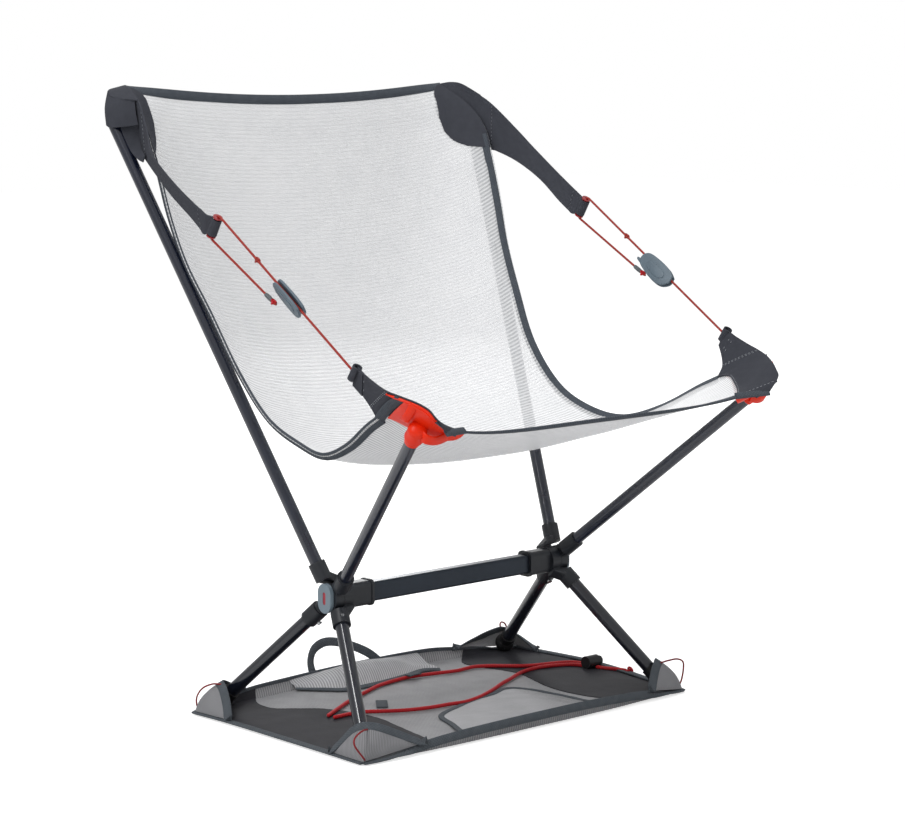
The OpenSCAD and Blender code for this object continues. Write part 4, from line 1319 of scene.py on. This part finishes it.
# front pocket, which is open on the side away from the front edge
pocketEdge = [(-98, -138, 11.5), (-90, -124, 6), (-68, -83, 3), (-54, -50, 3), (-19, -34, 3), (17, -22, 3),
              (46, -17, 3), (76, -9, 3), (90, -30, 3), (94, -52, 3), (98, -80, 3), (100, -108, 3.6),
              (104, -138, 11)]
pocketPuff = 1.6
pocketLine = smoothLine(places(pocketEdge), 8)
pocketTop = evenLine(pocketLine, 41)
pocketFoot = [at(-96 + 198 * k / 40, -139.5, 12.6) for k in range(41)]
pocketRows = []
for k in range(41):
    row = []
    for j in range(15):
        t = j / 14
        spot = pocketTop[k].lerp(pocketFoot[k], t)
        low = groundHeight(spot.x / mm, spot.y / mm + 13) * mm + 1.3 * mm
        puff = pocketPuff * mm * math.sin(math.pi * t) * math.sin(math.pi * k / 40)
        row.append(Vector((spot.x, spot.y, low + puff)))
    pocketRows.append(row)
frontPocket = onSheet(clothFromRows("pocket_cloth", pocketRows, thickSheet, pocketMesh), "sheet_mesh",
                      "front_pocket")
pocketTape = onSheet(bindEdge("pocket_tape", evenLine(pocketLine, 80), Vector((0, 0, 1)), bindSpec["pocket"],
                              bindSpec["fine"]), "sheet_tape")
clothArea(pocketRows)

handleSpec = {"line": [(-63, 145, 11), (-65, 147, 20), (-64, 149, 29), (-58, 151, 38), (-46, 152, 43),
                       (-32, 152.5, 42.5), (-14, 152, 37.5), (4, 151, 30), (18, 149, 22), (28, 146, 13)],
              "width": 9.5, "thick": 1.6}
handleLine = evenLine(smoothLine(places(handleSpec["line"]), 8), 48)
handleFacing = [Vector((0.25 * math.sin(k / 9.0), -1, 0.12 + 0.25 * math.sin(k / 15.0))).normalized()
                for k in range(48)]
handle = onSheet(bindEdge("handle_tape", handleLine, handleFacing, handleSpec["width"], handleSpec["thick"]),
                 "sheet_tape", "carry_handle")

# short tabs that hold the drawcord: place, turn, length and width
tabSpec = [((-66, 29, 2.6), 52, 28, 12), ((32, 93, 6.9), 4, 17, 9)]
tabPieces = []
for spot, turn, length, width in tabSpec:
    way = Vector((math.cos(math.radians(turn)), math.sin(math.radians(turn)), 0))
    middle = at(*spot)
    line = [middle + way * length * mm * (j / 8 - 0.5) + Vector((0, 0, 0.5 * mm * math.sin(math.pi * j / 8)))
            for j in range(9)]
    tabPieces.append(bindEdge("cord_tab", line, Vector((0, 0, 1)), width, 1.3))
tabs = onSheet(joinPieces("cord_tabs", tabPieces), "sheet_tape")

# thin loops that stand up out of the four corners
loopRadius = 0.9 * mm
loopSpec = {
    "near_front": [(-213, -124, 31), (-222, -129, 32.5), (-233, -134, 31.5), (-240, -137, 28),
                   (-240, -138, 22), (-232, -136, 13), (-224, -133, 5), (-222, -131, 2.8)],
    "far_front": [(193, -118, 31), (198, -126, 34.5), (207, -130, 35.5), (214, -132, 32), (215, -132, 24),
                  (212, -132, 12), (208, -130, 3)],
    "near_rear": [(-209, 113, 31), (-215, 119, 31.5), (-222, 127, 27), (-225, 133, 18), (-225, 134, 9),
                  (-224, 130, 2.8)],
    "far_rear": [(204, 140, 24), (205, 143, 28), (209, 145, 30), (214, 144.5, 27.5), (216, 142, 20),
                 (217, 138, 10)]}
for label, points in loopSpec.items():
    line = evenLine(smoothLine(places(points), 8), 36)
    loop = onSheet(tubeAlong(label + "_loop", line, loopRadius, 8, loopBraid), "loop_cord")
    declareCord(line)
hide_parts("corner_loops")

tailKnot = makeKnot("drawcord_knot", at(225, -43, 5.2), Vector((0.4, -0.9, 0)).normalized(), 4.2, drawBraid)
onSheet(tailKnot, "drawcord_red")
print("ground sheet made")


# floor and light

# each light: place, size and power
stageSpec = {"floor": 14.0, "paper": "e6e6e6", "glow": 0.66, "sky": 0.45, "aim": (0, 0, 0.3),
             "lights": {"key_light": ((-2.2, -0.4, 2.6), (0.35, 2.4), 46.0),
                        "fill_light": ((1.2, -3.0, 1.6), (1.6, 1.2), 9.0),
                        "top_light": ((0.3, 0.4, 3.0), (2.0, 2.0), 16.0),
                        "rim_light": ((1.8, 2.4, 1.6), (0.5, 1.8), 22.0)}}


def makeStage():
    deselect()
    bpy.ops.mesh.primitive_plane_add(size=stageSpec["floor"], location=(1.5, 2.0, cadLow.z - 0.5 * mm))
    floor = bpy.context.view_layer.objects.active
    floor.name = "floor"
    material = bpy.data.materials.new("studio_paper")
    material.use_nodes = True
    shader = material.node_tree.nodes["Principled BSDF"]
    shader.inputs["Base Color"].default_value = paint(stageSpec["paper"])
    shader.inputs["Roughness"].default_value = 0.9
    shader.inputs["Specular IOR Level"].default_value = 0.0
    shader.inputs["Emission Color"].default_value = (1, 1, 1, 1)
    # the paper's own glow is only for the eye, so it doesn't light the seat from below
    path = material.node_tree.nodes.new("ShaderNodeLightPath")
    glow = material.node_tree.nodes.new("ShaderNodeMath")
    glow.operation = "MULTIPLY"
    glow.inputs[1].default_value = stageSpec["glow"]
    material.node_tree.links.new(path.outputs["Is Camera Ray"], glow.inputs[0])
    material.node_tree.links.new(glow.outputs[0], shader.inputs["Emission Strength"])
    floor.data.materials.append(material)


def addLight(name, place, size, power):
    data = bpy.data.lights.new(name, "AREA")
    data.shape = "RECTANGLE"
    data.size, data.size_y = size
    data.energy = power
    light = bpy.data.objects.new(name, data)
    light.location = place
    light.rotation_euler = (Vector(stageSpec["aim"]) - Vector(place)).to_track_quat("-Z", "Y").to_euler()
    bpy.context.scene.collection.objects.link(light)


def makeLights():
    # the paper seen straight is white, and the light that it gives is softer
    world = bpy.data.worlds.new("studio_sky")
    bpy.context.scene.world = world
    world.use_nodes = True
    tree = world.node_tree
    background = tree.nodes["Background"]
    path = tree.nodes.new("ShaderNodeLightPath")
    strength = tree.nodes.new("ShaderNodeMath")
    strength.operation = "MULTIPLY_ADD"
    tree.links.new(path.outputs["Is Camera Ray"], strength.inputs[0])
    strength.inputs[1].default_value = 1.0 - stageSpec["sky"]
    strength.inputs[2].default_value = stageSpec["sky"]
    tree.links.new(strength.outputs[0], background.inputs["Strength"])
    background.inputs["Color"].default_value = (1, 1, 1, 1)
    for name, (place, size, power) in stageSpec["lights"].items():
        addLight(name, place, size, power)


makeStage()
makeLights()
bpy.context.scene.view_settings.view_transform = "Standard"
print("floor and lights made")
